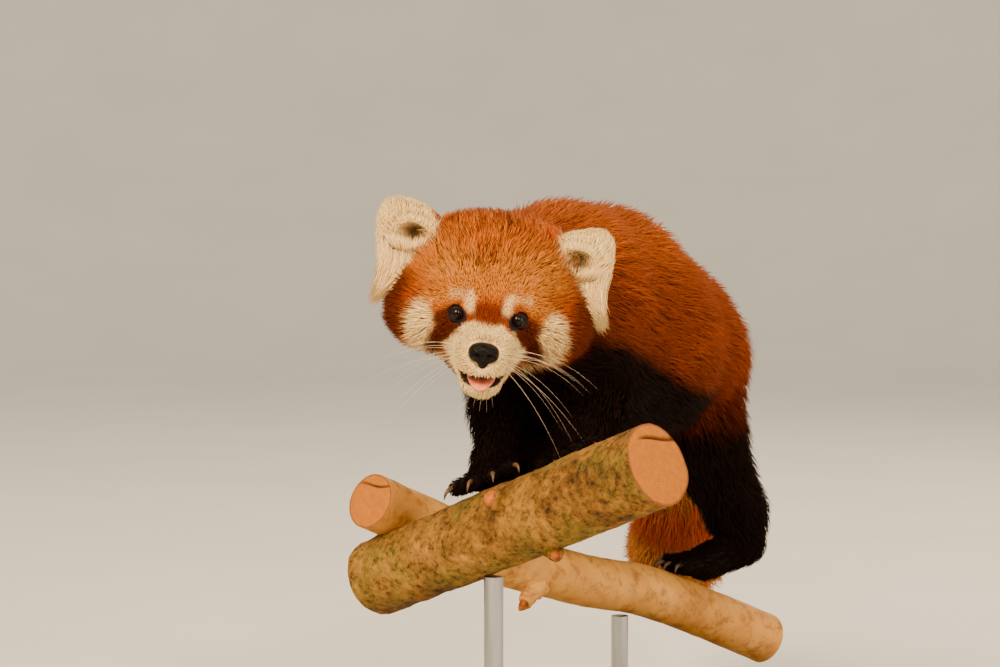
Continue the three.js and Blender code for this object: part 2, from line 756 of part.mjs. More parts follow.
const tongueField = inHead((x, y, z) => {
  const dip = 0.012 * Math.max(0, -66 - y) ** 2;
  return melted([ellipsoidField(at(0, -66, -60), at(12.6, 22, 3.6))], 3)(x, y, z + dip);
});
const mouthWorld = toWorld(0, -70, -62);
const around = (p, r) => [at(p.x - r, p.y - r, p.z - r), at(p.x + r, p.y + r, p.z + r)];
const tongue = surfaceOf(tongueField, ...around(mouthWorld, 27), 4.4);
const tongueSeat = surfaceOf((x, y, z) => tongueField(x, y, z) - 0.35, ...around(mouthWorld, 27), 4.4);

// The nose pad, wide above and narrow below, with a nostril at each side
const noseField = inHead(
  melted(
    [
      ellipsoidField(NOSE.clone().add(at(0, 1.5, 3.2)), at(9.6, 8, 5.4)),
      ...mirrored((side) => ellipsoidField(NOSE.clone().add(at(side * 5, 1.5, 0.5)), at(5.6, 7, 5.8))),
      ellipsoidField(NOSE.clone().add(at(0, 2, -5)), at(4.6, 5.4, 5.6)),
    ],
    3,
  ),
);
const noseWorld = toWorld(NOSE.x, NOSE.y, NOSE.z);
const noseSeat = surfaceOf((x, y, z) => noseField(x, y, z) - 0.35, ...around(noseWorld, 16), 3.3);
let nose = surfaceOf(noseField, ...around(noseWorld, 16), 3.3);
for (const side of [-1, 1]) {
  const pit = new THREE.SphereGeometry(1, 8, 6).scale(2, 3.2, 1.5);
  pit.rotateY(side * 0.5).translate(NOSE.x + side * 5.6, NOSE.y - 5.4, NOSE.z - 1.6);
  nose = nose.subtract(inPlace(pit));
}

// Each eye is a ball set deep, and the lids are a thin cover round it with an opening
const LID = 2;
function eyeOf(side) {
  const centre = EYE(side);
  const look = at(side * 0.3, -0.93, 0.02).normalize();
  const turn = new THREE.Quaternion().setFromUnitVectors(at(0, 0, 1), look);
  const ball = (r) => inPlace(new THREE.IcosahedronGeometry(r, 2).translate(centre.x, centre.y, centre.z));
  const opening = new THREE.CylinderGeometry(8, 6.6, 40, 16).rotateX(Math.PI / 2).scale(1, 0.97, 1);
  opening.translate(0, 0, 20).applyQuaternion(turn).translate(centre.x, centre.y, centre.z);
  return { ball, opening: inPlace(opening) };
}
for (const [side, name] of [[1, "eye_left"], [-1, "eye_right"]]) {
  const { ball, opening } = eyeOf(side);
  head = head.add(ball(EYE_RADIUS + LID)).subtract(opening).subtract(ball(EYE_RADIUS + GAP));
  keep(name, ball(EYE_RADIUS), COLOURS.eye, 0.15);
}

// Ear cups, open to the front
const EAR = (side) => at(side * EAR_SPREAD + (side < 0 ? -1 : 2.5), 16, side < 0 ? 28 : 19);
function earField(side) {
  const spin = new THREE.Matrix4().makeRotationZ(side * 0.42);
  spin.multiply(new THREE.Matrix4().makeRotationY(side * 0.5)).setPosition(EAR(side));
  const back = spin.clone().invert();
  const outer = ellipsoidField(at(0, 4, 3), at(24.5, 16, 25.5));
  const inner = ellipsoidField(at(0, -9, 3), at(18.5, 19, 19.5));
  return inHead((x, y, z) => {
    const p = at(x, y, z).applyMatrix4(back);
    const cup = Math.max(outer(p.x, p.y, p.z), -inner(p.x, p.y, p.z));
    return Math.max(cup, -(p.z + 24));
  });
}
for (const [side, name] of [[1, "ear_left"], [-1, "ear_right"]]) {
  const field = earField(side);
  const c = toWorld(EAR(side).x, EAR(side).y, EAR(side).z + 4);
  let ear = surfaceOf(field, ...around(c, 40), 6.6);
  for (const [n, shift] of [-9, 0, 9].entries()) {
    const root = EAR(side);
    const path = [
      [root.x - side * 4, 2 + shift * 0.4, root.z - 5 + n],
      [root.x + side * 8, shift * 0.8, root.z - 21],
      [root.x + side * 16, 3 + shift, root.z - 38],
      [root.x + side * (22 - n), 8 + shift * 1.2, root.z - 52 + 5 * n],
    ].map(([x, y, z]) => toWorld(x, y, z));
    ear = ear.add(lockAlong(path, path.map(() => turned(side * 0.9, -0.4, 0.3)), 16, 5, 60));
  }
  ear = ear.subtract(headShell);
  for (const lock of ruff(side, 1.2)) ear = ear.subtract(lock);
  keep(name, largest(ear), COLOURS.cream);
}

const jaw = head.intersect(jawRegion).subtract(tongueSeat);
head = head.subtract(jawGrown).subtract(mouth).subtract(noseSeat).subtract(tongueSeat);
keep("head", largest(head), COLOURS.face);
keep("lower_jaw", largest(jaw), COLOURS.cream);
keep("tongue", tongue, COLOURS.tongue, 0.5);
keep("nose", largest(nose), COLOURS.nose, 0.4);

// Tail, in four lengths along its own curve, with its long coat in staggered rings
const TAIL_RINGS = 6;
const TAIL_RING_LOCKS = 4;
const tailCurve = new THREE.CatmullRomCurve3(TAIL_POINTS);
const tailOutline = tailField();
const tailCore = (x, y, z) => tailOutline(x, y, z) + TAIL_COAT;
let tailWhole = surfaceOf(tailCore, ...boundsOf(TAIL_POINTS, 64), 24);
const tailFrames = tailCurve.computeFrenetFrames(100, false);
for (let ring = 0; ring < TAIL_RINGS; ring++) {
  const t = (ring + 0.3) / (TAIL_RINGS + 0.2);
  const frame = Math.round(t * 100);
  const centre = tailCurve.getPointAt(t);
  for (let n = 0; n < TAIL_RING_LOCKS; n++) {
    const angle = (2 * Math.PI * (n + (ring % 2) / 2)) / TAIL_RING_LOCKS;
    const out = tailFrames.normals[frame].clone().multiplyScalar(Math.cos(angle));
    out.addScaledVector(tailFrames.binormals[frame], Math.sin(angle));
    tailWhole = tailWhole.add(
      lockOn(tailCore, {
        root: onSurface(tailCore, centre, out),
        lie: tailFrames.tangents[frame],
        length: Math.min(draw(82, 96), 30 + (1 - t) * 440),
        width: draw(46, 52),
        ridge: draw(7, 9),
        rise: TAIL_COAT,
        round: 38,
        bend: draw(-6, 6),
      }),
    );
  }
}
const tailCut = (share, inset) =>
  block(tailCurve.getPointAt(share), tailCurve.getTangentAt(share), 420, 700, inset);
let rest = tailWhole.intersect(tailBlock(GAP / 2).add(tailPast(GAP / 2)));
rest = rest.subtract(thighShell);
TAIL_CUTS.forEach((share, n) => {
  keep(`tail_${n + 1}`, largest(rest.subtract(tailCut(share, -GAP / 2)).subtract(wood)), COLOURS.rust);
  rest = rest.intersect(tailCut(share, GAP / 2));
});
keep(`tail_${TAIL_CUTS.length + 1}`, largest(rest), COLOURS.rust);

// Branches, each with the stubs of its cut twigs, and stand
keep("branch_front", frontStubs(0).reduce((made, one) => made.add(one), frontBranch()), COLOURS.bark);
keep("branch_rear", largest(rearBranch().add(rearStub(0)).subtract(frontBranch(GAP))), COLOURS.tan);

const base = new THREE.BoxGeometry(BASE_SIZE.x, BASE_SIZE.y, BASE_SIZE.z);
base.translate(BASE_CENTRE.x, BASE_CENTRE.y, BASE_CENTRE.z + BASE_SIZE.z / 2);
keep("stand_base", solid(base), COLOURS.stand, 0.6);
const rods = {
  stand_rod_front: FRONT_AXIS[0].clone().lerp(FRONT_AXIS[1], 0.44),
  stand_rod_rear: at(98, 234, -220),
};
for (const [name, top] of Object.entries(rods)) {
  const low = BASE_CENTRE.z + BASE_SIZE.z + GAP;
  const rod = new THREE.CylinderGeometry(ROD_RADIUS, ROD_RADIUS, top.z - low, 20).rotateX(Math.PI / 2);
  rod.translate(top.x, top.y, (top.z + low) / 2);
  keep(name, largest(solid(rod).subtract(wood)), COLOURS.stand, 0.5);
}

const group = new THREE.Group();
for (const [name, { made, colour, roughness }] of Object.entries(parts)) {
  const mesh = new THREE.Mesh(
    geometryOf(made),
    new THREE.MeshStandardMaterial({ color: colour, roughness }),
  );
  mesh.name = name;
  mesh.geometry.translate(-BASE_CENTRE.x, -BASE_CENTRE.y, -BASE_CENTRE.z);
  group.add(mesh);
}
export default group;
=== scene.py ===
"""A red panda stepping along two crossed branches, as a still display model on a plain stand.

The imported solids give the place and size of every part. Here one smooth skin takes the place of the
solids of flesh, lying inside them by the depth of the coat, and the coat grows on it as small flat
tufts. Shapes are worked out in millimetres round the point that the camera looks at, on the same
landmarks as the solids, and are moved into the frame of the solids when they become meshes.
"""

import bpy
import numpy as np
from mathutils import Matrix, Vector


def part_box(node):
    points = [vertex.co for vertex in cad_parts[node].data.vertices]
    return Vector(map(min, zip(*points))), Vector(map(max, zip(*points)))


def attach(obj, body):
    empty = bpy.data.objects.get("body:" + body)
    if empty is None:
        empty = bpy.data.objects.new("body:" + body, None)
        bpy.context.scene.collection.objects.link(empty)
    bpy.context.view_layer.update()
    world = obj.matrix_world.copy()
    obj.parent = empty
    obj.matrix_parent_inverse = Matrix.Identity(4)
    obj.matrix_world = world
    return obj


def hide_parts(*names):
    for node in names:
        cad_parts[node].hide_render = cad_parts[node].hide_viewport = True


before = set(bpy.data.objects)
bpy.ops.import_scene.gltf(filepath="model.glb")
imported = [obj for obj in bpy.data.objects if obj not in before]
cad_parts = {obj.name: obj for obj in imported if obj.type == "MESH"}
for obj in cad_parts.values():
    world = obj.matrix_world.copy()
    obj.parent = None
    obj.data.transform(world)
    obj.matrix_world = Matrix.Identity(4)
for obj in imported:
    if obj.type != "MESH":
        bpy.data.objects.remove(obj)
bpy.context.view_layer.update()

BASE_CENTRE = np.array([92.0, 200.0, -392.0])
rng = np.random.default_rng(7)


def vec(x, y, z):
    return np.array([x, y, z], float)


# Landmarks of the body: (from, to, radius at each end, depth of the coat at each end)
NAPE = vec(2, 48, 22)
WITHERS = vec(43, 120, 24)
CHEST = vec(37, 92, -36)
MID_BACK = vec(79, 205, 20)
BELLY = vec(97, 225, -25)
RUMP = vec(129, 332, -27)
TRUNK = [
    (NAPE, WITHERS, 56, 64, 9, 13),
    (NAPE, CHEST, 44, 52, 9, 12),
    (WITHERS, MID_BACK, 64, 65, 13, 14),
    (CHEST, BELLY, 52, 73, 12, 14),
    (MID_BACK, RUMP, 65, 68, 14, 14),
    (BELLY, RUMP, 73, 68, 14, 14),
]
TRUNK_MELT = 26
BODY_MELT = 22
TAIL_MELT = 20
LINK_MELT = 12
PAW_MELT = 8
LEG_MELT = 3
LIMBS = {
    "foreleg_right": {
        "blend": 24,
        "links": [
            (vec(14, 84, -44), vec(6, 72, -68), 34, 27, 9, 8),
            (vec(6, 72, -68), vec(1, 38, -94), 27, 20, 7, 4.5),
            (vec(0, 38, -94), vec(-4, 26, -101), 20, 16.5, 4.5, 3),
        ],
        "palm": vec(-7, 20, -104),
        "palm_radius": 15.5,
        "toes": (vec(-31, 2, -112), vec(9, -8, -96)),
        "toe_radius": 7,
    },
    "foreleg_left": {
        "blend": 24,
        "links": [
            (vec(66, 78, -38), vec(66, 56, -60), 34, 28, 9, 8),
            (vec(66, 56, -60), vec(56, 22, -82), 28, 21, 7, 4.5),
            (vec(56, 22, -82), vec(52, 12, -89), 21, 18, 4.5, 3),
            (vec(40, 72, -58), vec(28, 40, -97), 25, 15, 8, 6),
        ],
        "palm": vec(48, 4, -94),
        "palm_radius": 15.5,
        "toes": (vec(30, -15, -95), vec(64, -26, -77)),
        "toe_radius": 7,
    },
    "hindleg_left": {
        "blend": 28,
        "links": [
            (vec(160, 322, -43), vec(166, 278, -96), 52, 39, 12, 10),
            (vec(166, 278, -96), vec(201, 320, -168), 39, 27, 10, 7),
            (vec(201, 320, -168), vec(208, 322, -193), 27, 20, 7, 5),
        ],
        "palm": vec(172, 296, -209),
        "palm_radius": 16,
        "toes": (vec(145, 296, -208), vec(155, 270, -208)),
        "toe_radius": 8.2,
        "heel": vec(207, 322, -198),
    },
    "hindleg_right": {
        "blend": 28,
        "links": [
            (vec(108, 318, -42), vec(78, 218, -86), 50, 37, 12, 10),
            (vec(78, 218, -86), vec(74, 218, -134), 37, 26, 10, 7),
            (vec(74, 218, -134), vec(70, 212, -152), 26, 20, 7, 5),
        ],
        "palm": vec(38, 180, -164),
        "palm_radius": 16,
        "toes": (vec(12, 172, -156), vec(26, 150, -160)),
        "toe_radius": 8.2,
        "heel": vec(68, 210, -152),
    },
}
TOES = 4
TOE_ARCH = 7
TOE_MELT = 4
KNUCKLE = 0.45
HEEL_RADIUS = 18
PAW_COAT = 2.6
TAIL_POINTS = np.array([
    (136, 358, -38), (152, 404, -92), (163, 424, -160), (163, 450, -205),
    (165, 510, -230), (168, 578, -229), (171, 640, -212), (173, 674, -196),
], float)
TAIL_RADII = [38, 37, 41, 43, 43, 42, 36, 20]
TAIL_COATS = [15, 17, 19, 20, 20, 20, 18, 11]
TAIL_RINGS = 6
TAIL = [
    (*TAIL_POINTS[n : n + 2], *TAIL_RADII[n : n + 2], *TAIL_COATS[n : n + 2])
    for n in range(len(TAIL_POINTS) - 1)
]

# The head in its own axes: +X the viewer's right, +Y to the back, +Z up
HEAD_CENTRE = vec(-6, 12, 36)
HEAD_TURN = np.array(Matrix.Rotation(np.radians(6.5), 3, "Y") @ Matrix.Rotation(np.radians(5), 3, "X"))
HEAD_BALLS = [
    (vec(0, 8, 0), vec(66, 58, 52.5)),
    (vec(-40, 0, -24), vec(37, 40, 31)),
    (vec(40, 0, -24), vec(37, 40, 31)),
    (vec(-20, -34, -2), vec(17, 16, 14)),
    (vec(20, -34, -2), vec(17, 16, 14)),
]
HEAD_LINKS = [
    (vec(0, -40, -30), vec(0, -78, -41), 28, 18),
    (vec(0, -16, -46), vec(0, -64, -58.5), 27, 14.5),
]
HEAD_MELT = 16
EYE_RADIUS = 7.0
EYE_ROOM = 0.35
SOCKET_RADIUS = 4.1
SOCKET_FLARE = 0.3
LID_OPENING = 38
EYE_BULGE = 0.35
EYE_SIDES = 48
EYE_RINGS = 40
EYES = {"eye_left": vec(21.3, -47.1, -18.8), "eye_right": vec(-21.3, -47.1, -18.8)}
NOSE = vec(0, -91, -39.5)
EAR_SPINS = {1: (0.42, 0.03), -1: (-0.42, -0.03)}
EARS = {1: vec(62, 1, 16.5), -1: vec(-63, 3, 23.5)}
EAR_OUTER = (vec(0, 4, 3), vec(27, 16, 25))
EAR_INNER = (vec(0, -9, 2.5), vec(15, 17, 12.5))
POCKET_SHIFT = 3.5
EAR_SLANT = 0.22
EAR_SQUARE = 2.8
EAR_FACE = -5.5
EAR_COAT = 2.4
LIP_LINE = ((-120, -54), (-74, -54.5), (-58, -53))
MOUTH_BACK = -58
CHIN_LINE = ((-120, -65), (-84, -65), (-70, -61.5), (-58, -53))

FRONT_AXIS = (vec(-92, 66.5, -187.2), vec(106.7, -112, -82.9))
FRONT_RADII = (29.5, 30)
REAR_AXIS = np.array([
    (-96, 40, -126), (-60, 80, -147), (0, 140, -182), (70, 207, -211),
    (115, 250, -224.5), (167, 293, -249), (228, 341, -281),
], float)
REAR_RADII = (20.5, 22)
REAR_MEAN = 21


# Distance fields. A point is a tuple of three arrays; bare is 0 for the tips of the coat, 1 for the skin.


def smooth(value, low, high):
    t = np.clip((value - low) / (high - low), 0, 1)
    return t * t * (3 - 2 * t)


def link(p, a, b, ra, rb):
    d = b - a
    x, y, z = p[0] - a[0], p[1] - a[1], p[2] - a[2]
    t = np.clip((x * d[0] + y * d[1] + z * d[2]) / (d @ d), 0, 1)
    away = (x - t * d[0]) ** 2 + (y - t * d[1]) ** 2 + (z - t * d[2]) ** 2
    return np.sqrt(away) - (ra + (rb - ra) * t)


def coated(p, part, bare):
    a, b, ra, rb, coat_a, coat_b = part
    return link(p, a, b, ra - bare * coat_a, rb - bare * coat_b)


def ball(p, centre, radii):
    q = [(p[n] - centre[n]) / radii[n] for n in range(3)]
    k0 = np.sqrt(q[0] ** 2 + q[1] ** 2 + q[2] ** 2) + 1e-6
    k1 = np.sqrt(sum((q[n] / radii[n]) ** 2 for n in range(3))) + 1e-9
    return k0 * (k0 - 1) / k1


def melt(a, b, k):
    h = np.maximum(k - np.abs(a - b), 0) / k
    return np.minimum(a, b) - h * h * k / 4


def melted(fields, k):
    made = fields[0]
    for one in fields[1:]:
        made = melt(made, one, k)
    return made


def turned(p, turn, centre):
    """p in the axes of a part that is turned and set at centre"""
    q = [p[n] - centre[n] for n in range(3)]
    return tuple(sum(turn[m, n] * q[m] for m in range(3)) for n in range(3))


def head_local(p):
    return turned(p, HEAD_TURN, HEAD_CENTRE)


def to_world(q):
    return np.asarray(q) @ HEAD_TURN.T + HEAD_CENTRE


def eye_look(side):
    look = vec(side * 0.08, -0.99, 0.03)
    return look / np.linalg.norm(look)


def socket_field(q, centre):
    """Below zero in the hollow that opens an eye towards the front"""
    look = eye_look(np.sign(centre[0]))
    rel = [q[n] - centre[n] for n in range(3)]
    ahead = sum(rel[n] * look[n] for n in range(3))
    across = np.sqrt(np.maximum(sum(r * r for r in rel) - ahead**2, 0))
    return np.maximum(across - SOCKET_RADIUS - SOCKET_FLARE * np.maximum(ahead - 4, 0), 3 - ahead)


def ear_turn(side):
    spin, lean = EAR_SPINS[side]
    return np.array(Matrix.Rotation(spin, 3, "Z") @ Matrix.Rotation(lean, 3, "Y"))


def ear_local(q, side):
    return turned(q, ear_turn(side), EARS[side])


def ear_pocket(e, side):
    return ball((e[0] + side * POCKET_SHIFT, e[1], e[2]), *EAR_INNER)


def apart(q, centre):
    """Distance from a centre"""
    return np.sqrt(sum((q[n] - centre[n]) ** 2 for n in range(3)))


def head_coat(q):
    """Depth of the coat on the head, least on the muzzle and round the eyes"""
    depth = 2.2 + 7.8 * smooth(q[1], -62, 5)
    depth = depth - 1.2 * smooth(-q[2], 44, 56) * (1 - smooth(q[1], -60, -44))
    for centre in EYES.values():
        depth = depth * (0.55 + 0.45 * smooth(apart(q, centre), 9, 24))
    return depth


def head_field(q, bare):
    shapes = [ball(q, *one) for one in HEAD_BALLS] + [link(q, *one) for one in HEAD_LINKS]
    made = melted(shapes, HEAD_MELT)
    return made + head_coat(q) if bare else made


def ear_field(q, side, bare):
    """A cup, squarer than a ball seen from the front"""
    e = ear_local(q, side)
    centre, radii = EAR_OUTER
    top = e[2] - EAR_SLANT * side * e[0]
    x, y, z = (np.abs(c - m) / r for c, m, r in zip((e[0], e[1], top), centre, radii))
    face = (x**EAR_SQUARE + z**EAR_SQUARE) ** (1 / EAR_SQUARE)
    k0 = np.sqrt(face**2 + y**2) + 1e-6
    outer = k0 * (k0 - 1) / np.sqrt((face / radii[0]) ** 2 + (y / radii[1]) ** 2 + 1e-12)
    outer = -melt(-outer, e[1] - EAR_FACE, 5)
    return np.maximum(np.maximum(outer + EAR_COAT * bare, -ear_pocket(e, side)), -(e[2] + 24))


def toe_lines(limb, count=TOES):
    """(knuckle, tip) of each toe, the middle ones reaching furthest"""
    palm = limb["palm"]
    first, last = limb["toes"]
    forward = (first + last) / 2 - palm
    forward /= np.linalg.norm(forward)
    lines = []
    for n in range(count):
        tip = first + (last - first) * n / (count - 1)
        tip = tip + forward * TOE_ARCH * np.sin(np.pi * (n + 0.6) / (count + 0.2))
        lines.append((palm + (tip - palm) * KNUCKLE, tip))
    return lines


def paw_field(p, limb, bare):
    coat = PAW_COAT * bare
    start = limb.get("heel", limb["links"][-1][1])
    fields = [link(p, start, limb["palm"], HEEL_RADIUS - 1.3 * coat, limb["palm_radius"] - coat)]
    toe = limb["toe_radius"] - 0.8 * coat
    fields += [link(p, a, b, toe + 1.5, toe) for a, b in toe_lines(limb)]
    return melted(fields, TOE_MELT)


def mouth_field(q):
    """Below zero inside the open mouth"""
    lip = np.interp(q[1], *zip(*LIP_LINE))
    chin = np.interp(q[1], *zip(*CHIN_LINE))
    return np.maximum(np.maximum(q[2] - lip, chin - q[2]), q[1] - MOUTH_BACK)


def fields_of(p, bare):
    """Distance to each part, by name"""
    q = head_local(p)
    made = {
        "trunk": melted([coated(p, one, bare) for one in TRUNK], TRUNK_MELT),
        "head": head_field(q, bare),
        "tail": melted([coated(p, one, bare) for one in TAIL], TAIL_MELT),
    }
    for side in (1, -1):
        made[f"ear{side}"] = ear_field(q, side, bare)
    for name, limb in LIMBS.items():
        made[name] = melted([coated(p, one, bare) for one in limb["links"]], LINK_MELT)
        made["paw_" + name] = paw_field(p, limb, bare)
    return made


def joined(parts, bare):
    """All the parts as one body"""
    trunk = parts["trunk"]
    made = melt(trunk, parts["head"], BODY_MELT)
    made = melt(made, melt(trunk, parts["tail"], BODY_MELT), LEG_MELT)
    for name, limb in LIMBS.items():
        leg = melt(melt(trunk, parts[name], limb["blend"]), parts["paw_" + name], PAW_MELT)
        made = melt(made, leg, LEG_MELT)
    for side in (1, -1):
        made = melt(made, parts[f"ear{side}"], 6 if bare else 2)
    return made


def carved(made, q):
    """Cut the open mouth and the seats of the eyes out of the skin"""
    for centre in EYES.values():
        made = np.maximum(made, EYE_RADIUS + EYE_ROOM - apart(q, centre))
        made = -melt(-made, socket_field(q, centre), 2.0)
    return np.maximum(made, -mouth_field(q))


# Smooth noise that is the same each run


def noise(p, scale, seed):
    """Values from -1 to 1 at points (N, 3), changing over about scale"""
    q = p / scale
    cell = np.floor(q).astype(np.int64)
    f = q - cell
    f = f * f * (3 - 2 * f)
    total = np.zeros(len(p))
    for corner in range(8):
        step = np.array([corner & 1, (corner >> 1) & 1, corner >> 2])
        c = cell + step
        h = (c[:, 0] * 374761393 + c[:, 1] * 668265263 + c[:, 2] * 2147483647 + seed * 974711) & 0xFFFFFFFF
        h = ((h ^ (h >> 13)) * 1274126177) & 0xFFFFFFFF
        h = ((h ^ (h >> 16)) * 2246822519) & 0xFFFFFFFF
        value = (h & 0xFFFFFF) / 0x7FFFFF - 1
        total += value * np.prod(np.where(step, f, 1 - f), axis=1)
    return total


def noise3(p, scale, seed):
    return np.stack([noise(p, scale, seed + n) for n in range(3)], axis=1)


def unit(v):
    return v / np.maximum(np.linalg.norm(v, axis=-1, keepdims=True), 1e-9)


def columns(p):
    return p[:, 0], p[:, 1], p[:, 2]


def in_head(p):
    """Points (N, 3) in the head's own axes"""
    return np.stack(head_local(columns(p)), axis=1)


def parts_at(p):
    return fields_of(columns(p), 1)


def turns(count):
    """Even angles once round"""
    return np.linspace(0, 2 * np.pi, count, endpoint=False)


# A smooth closed surface where a field is zero


def surface(field, xs, ys, zs):
    """Vertices and quads, with one vertex in every cell of the grid that the surface passes"""
    value = field((xs[:, None, None], ys[None, :, None], zs[None, None, :])).astype(np.float32)
    inside = value < 0
    count = np.zeros(tuple(n - 1 for n in value.shape), np.int8)
    for c in range(8):
        i, j, k = c & 1, (c >> 1) & 1, c >> 2
        count += inside[i : i + count.shape[0], j : j + count.shape[1], k : k + count.shape[2]]
    cells = np.argwhere((count > 0) & (count < 8))
    index = np.full(count.shape, -1, np.int64)
    index[tuple(cells.T)] = np.arange(len(cells))
    axes = (xs, ys, zs)
    total = np.zeros((len(cells), 3))
    hits = np.zeros(len(cells))
    for axis in range(3):
        for c in range(4):
            start = np.zeros(3, int)
            start[(axis + 1) % 3] = c & 1
            start[(axis + 2) % 3] = c >> 1
            a = cells + start
            b = a.copy()
            b[:, axis] += 1
            va, vb = value[tuple(a.T)], value[tuple(b.T)]
            hit = (va < 0) != (vb < 0)
            t = va[hit] / (va[hit] - vb[hit])
            pa = np.stack([axes[n][a[hit, n]] for n in range(3)], axis=1)
            pb = np.stack([axes[n][b[hit, n]] for n in range(3)], axis=1)
            total[hit] += pa + t[:, None] * (pb - pa)
            hits[hit] += 1
    verts = total / hits[:, None]
    quads = []
    for axis in range(3):
        u, v = (axis + 1) % 3, (axis + 2) % 3
        low = [slice(1, -1)] * 3
        low[axis] = slice(0, -1)
        high = list(low)
        high[axis] = slice(1, None)
        first, second = inside[tuple(low)], inside[tuple(high)]
        crossed = np.argwhere(first != second)
        offset = np.ones(3, int)
        offset[axis] = 0
        at = crossed + offset
        ring = []
        for du, dv in ((0, 0), (-1, 0), (-1, -1), (0, -1)):
            c = at.copy()
            c[:, u] += du
            c[:, v] += dv
            ring.append(index[tuple(c.T)])
        ring = np.stack(ring, axis=1)
        outward = first[tuple(crossed.T)]
        ring[~outward] = ring[~outward][:, ::-1]
        quads.append(ring)
    return verts, np.concatenate(quads)


def steps(low, high, fine_low, fine_high):
    """Grid lines, close together between fine_low and fine_high"""
    before = np.arange(fine_low - COARSE, low - COARSE, -COARSE)[::-1]
    middle = np.arange(fine_low, fine_high, FINE)
    after = np.arange(middle[-1] + COARSE, high + COARSE, COARSE)
    return np.concatenate([before, middle, after])


def slope(p, bare):
    """Outward normal and distance at points (N, 3) of the whole body"""
    h = 0.7
    here, *ahead = [joined(fields_of(columns(p + step), bare), bare) for step in (0, *(h * np.eye(3)))]
    return unit(np.stack([one - here for one in ahead], axis=1)), here


# Meshes


def make_object(name, verts, faces, material, slot, smooth_shaded=True):
    """A mesh of triangles or quads, from vertices in millimetres"""
    mesh = bpy.data.meshes.new(name)
    placed = (np.asarray(verts, float) - BASE_CENTRE) / 1000
    sides = faces.shape[1]
    mesh.vertices.add(len(placed))
    mesh.vertices.foreach_set("co", placed.astype(np.float32).ravel())
    mesh.loops.add(faces.size)
    mesh.loops.foreach_set("vertex_index", faces.astype(np.int32).ravel())
    mesh.polygons.add(len(faces))
    mesh.polygons.foreach_set("loop_start", np.arange(0, faces.size, sides, dtype=np.int32))
    mesh.polygons.foreach_set("use_smooth", np.full(len(faces), smooth_shaded))
    mesh.update(calc_edges=True)
    mesh.validate()
    obj = bpy.data.objects.new(name, mesh)
    bpy.context.scene.collection.objects.link(obj)
    mesh.materials.append(material)
    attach(obj, "root")
    return obj


def paint(obj, colours):
    layer = obj.data.color_attributes.new("Coat", "FLOAT_COLOR", "POINT")
    rgba = np.ones((len(colours), 4), np.float32)
    rgba[:, :3] = colours
    layer.data.foreach_set("color", rgba.ravel())


# Materials


class Nodes:
    """A short way to wire a material"""

    def __init__(self, name):
        self.material = bpy.data.materials.new(name)
        self.material.use_nodes = True
        self.tree = self.material.node_tree
        self.shader = self.tree.nodes["Principled BSDF"]

    def add(self, kind, **values):
        node = self.tree.nodes.new("ShaderNode" + kind)
        for key, value in values.items():
            if hasattr(node, key):
                setattr(node, key, value)
            else:
                node.inputs[key.replace("_", " ")].default_value = value
        return node

    def wire(self, source, target):
        self.tree.links.new(source, target)

    def set(self, **values):
        for key, value in values.items():
            self.shader.inputs[key.replace("_", " ")].default_value = value

    def object_point(self, scale):
        place = self.add("TexCoord")
        sized = self.add("Mapping")
        sized.inputs["Scale"].default_value = (scale, scale, scale) if np.isscalar(scale) else scale
        self.wire(place.outputs["Object"], sized.inputs["Vector"])
        return sized.outputs["Vector"]

    def noise(self, scale, detail=4.0, roughness=0.6, stretch=1.0):
        made = self.add("TexNoise", Scale=scale, Detail=detail, Roughness=roughness)
        self.wire(self.object_point(stretch), made.inputs["Vector"])
        return made.outputs["Fac"]

    def cells(self, scale):
        """Distance from the middles of small cells"""
        made = self.add("TexVoronoi", Scale=scale)
        self.wire(self.object_point(1.0), made.inputs["Vector"])
        return made.outputs["Distance"]

    def painted(self):
        return self.add("VertexColor", layer_name="Coat").outputs["Color"]

    def ramp(self, factor, stops):
        made = self.add("ValToRGB")
        band = made.color_ramp
        while len(band.elements) < len(stops):
            band.elements.new(0.5)
        for element, (place, colour) in zip(band.elements, stops):
            element.position = place
            element.color = (*colour, 1)
        self.wire(factor, made.inputs["Fac"])
        return made.outputs["Color"]

    def mix(self, factor, a, b, blend="MIX"):
        made = self.add("Mix", data_type="RGBA", blend_type=blend)
        for socket, value in ((made.inputs[0], factor), (made.inputs[6], a), (made.inputs[7], b)):
            if isinstance(value, bpy.types.NodeSocket):
                self.wire(value, socket)
            else:
                socket.default_value = value if np.isscalar(value) else (*value, 1)
        return made.outputs[2]

    def bump(self, height, strength, distance):
        made = self.add("Bump", Strength=strength, Distance=distance)
        self.wire(height, made.inputs["Height"])
        self.wire(made.outputs["Normal"], self.shader.inputs["Normal"])

    def colour(self, socket):
        self.wire(socket, self.shader.inputs["Base Color"])


def coat_material(name, roughness):
    m = Nodes(name)
    fleck = m.ramp(m.noise(900, 3), [(0.3, (0.78, 0.76, 0.74)), (0.7, (1.12, 1.12, 1.12))])
    m.colour(m.mix(1.0, m.painted(), fleck, "MULTIPLY"))
    m.set(Roughness=roughness, Specular_IOR_Level=0.03)
    return m.material


def skin_material():
    m = Nodes("skin")
    fleck = m.ramp(m.noise(700, 4), [(0.3, (0.6, 0.58, 0.56)), (0.75, (1.1, 1.1, 1.1))])
    m.colour(m.mix(1.0, m.painted(), fleck, "MULTIPLY"))
    m.set(Roughness=0.8, Specular_IOR_Level=0.2)
    m.bump(m.noise(1200, 3), 0.5, 0.0006)
    return m.material


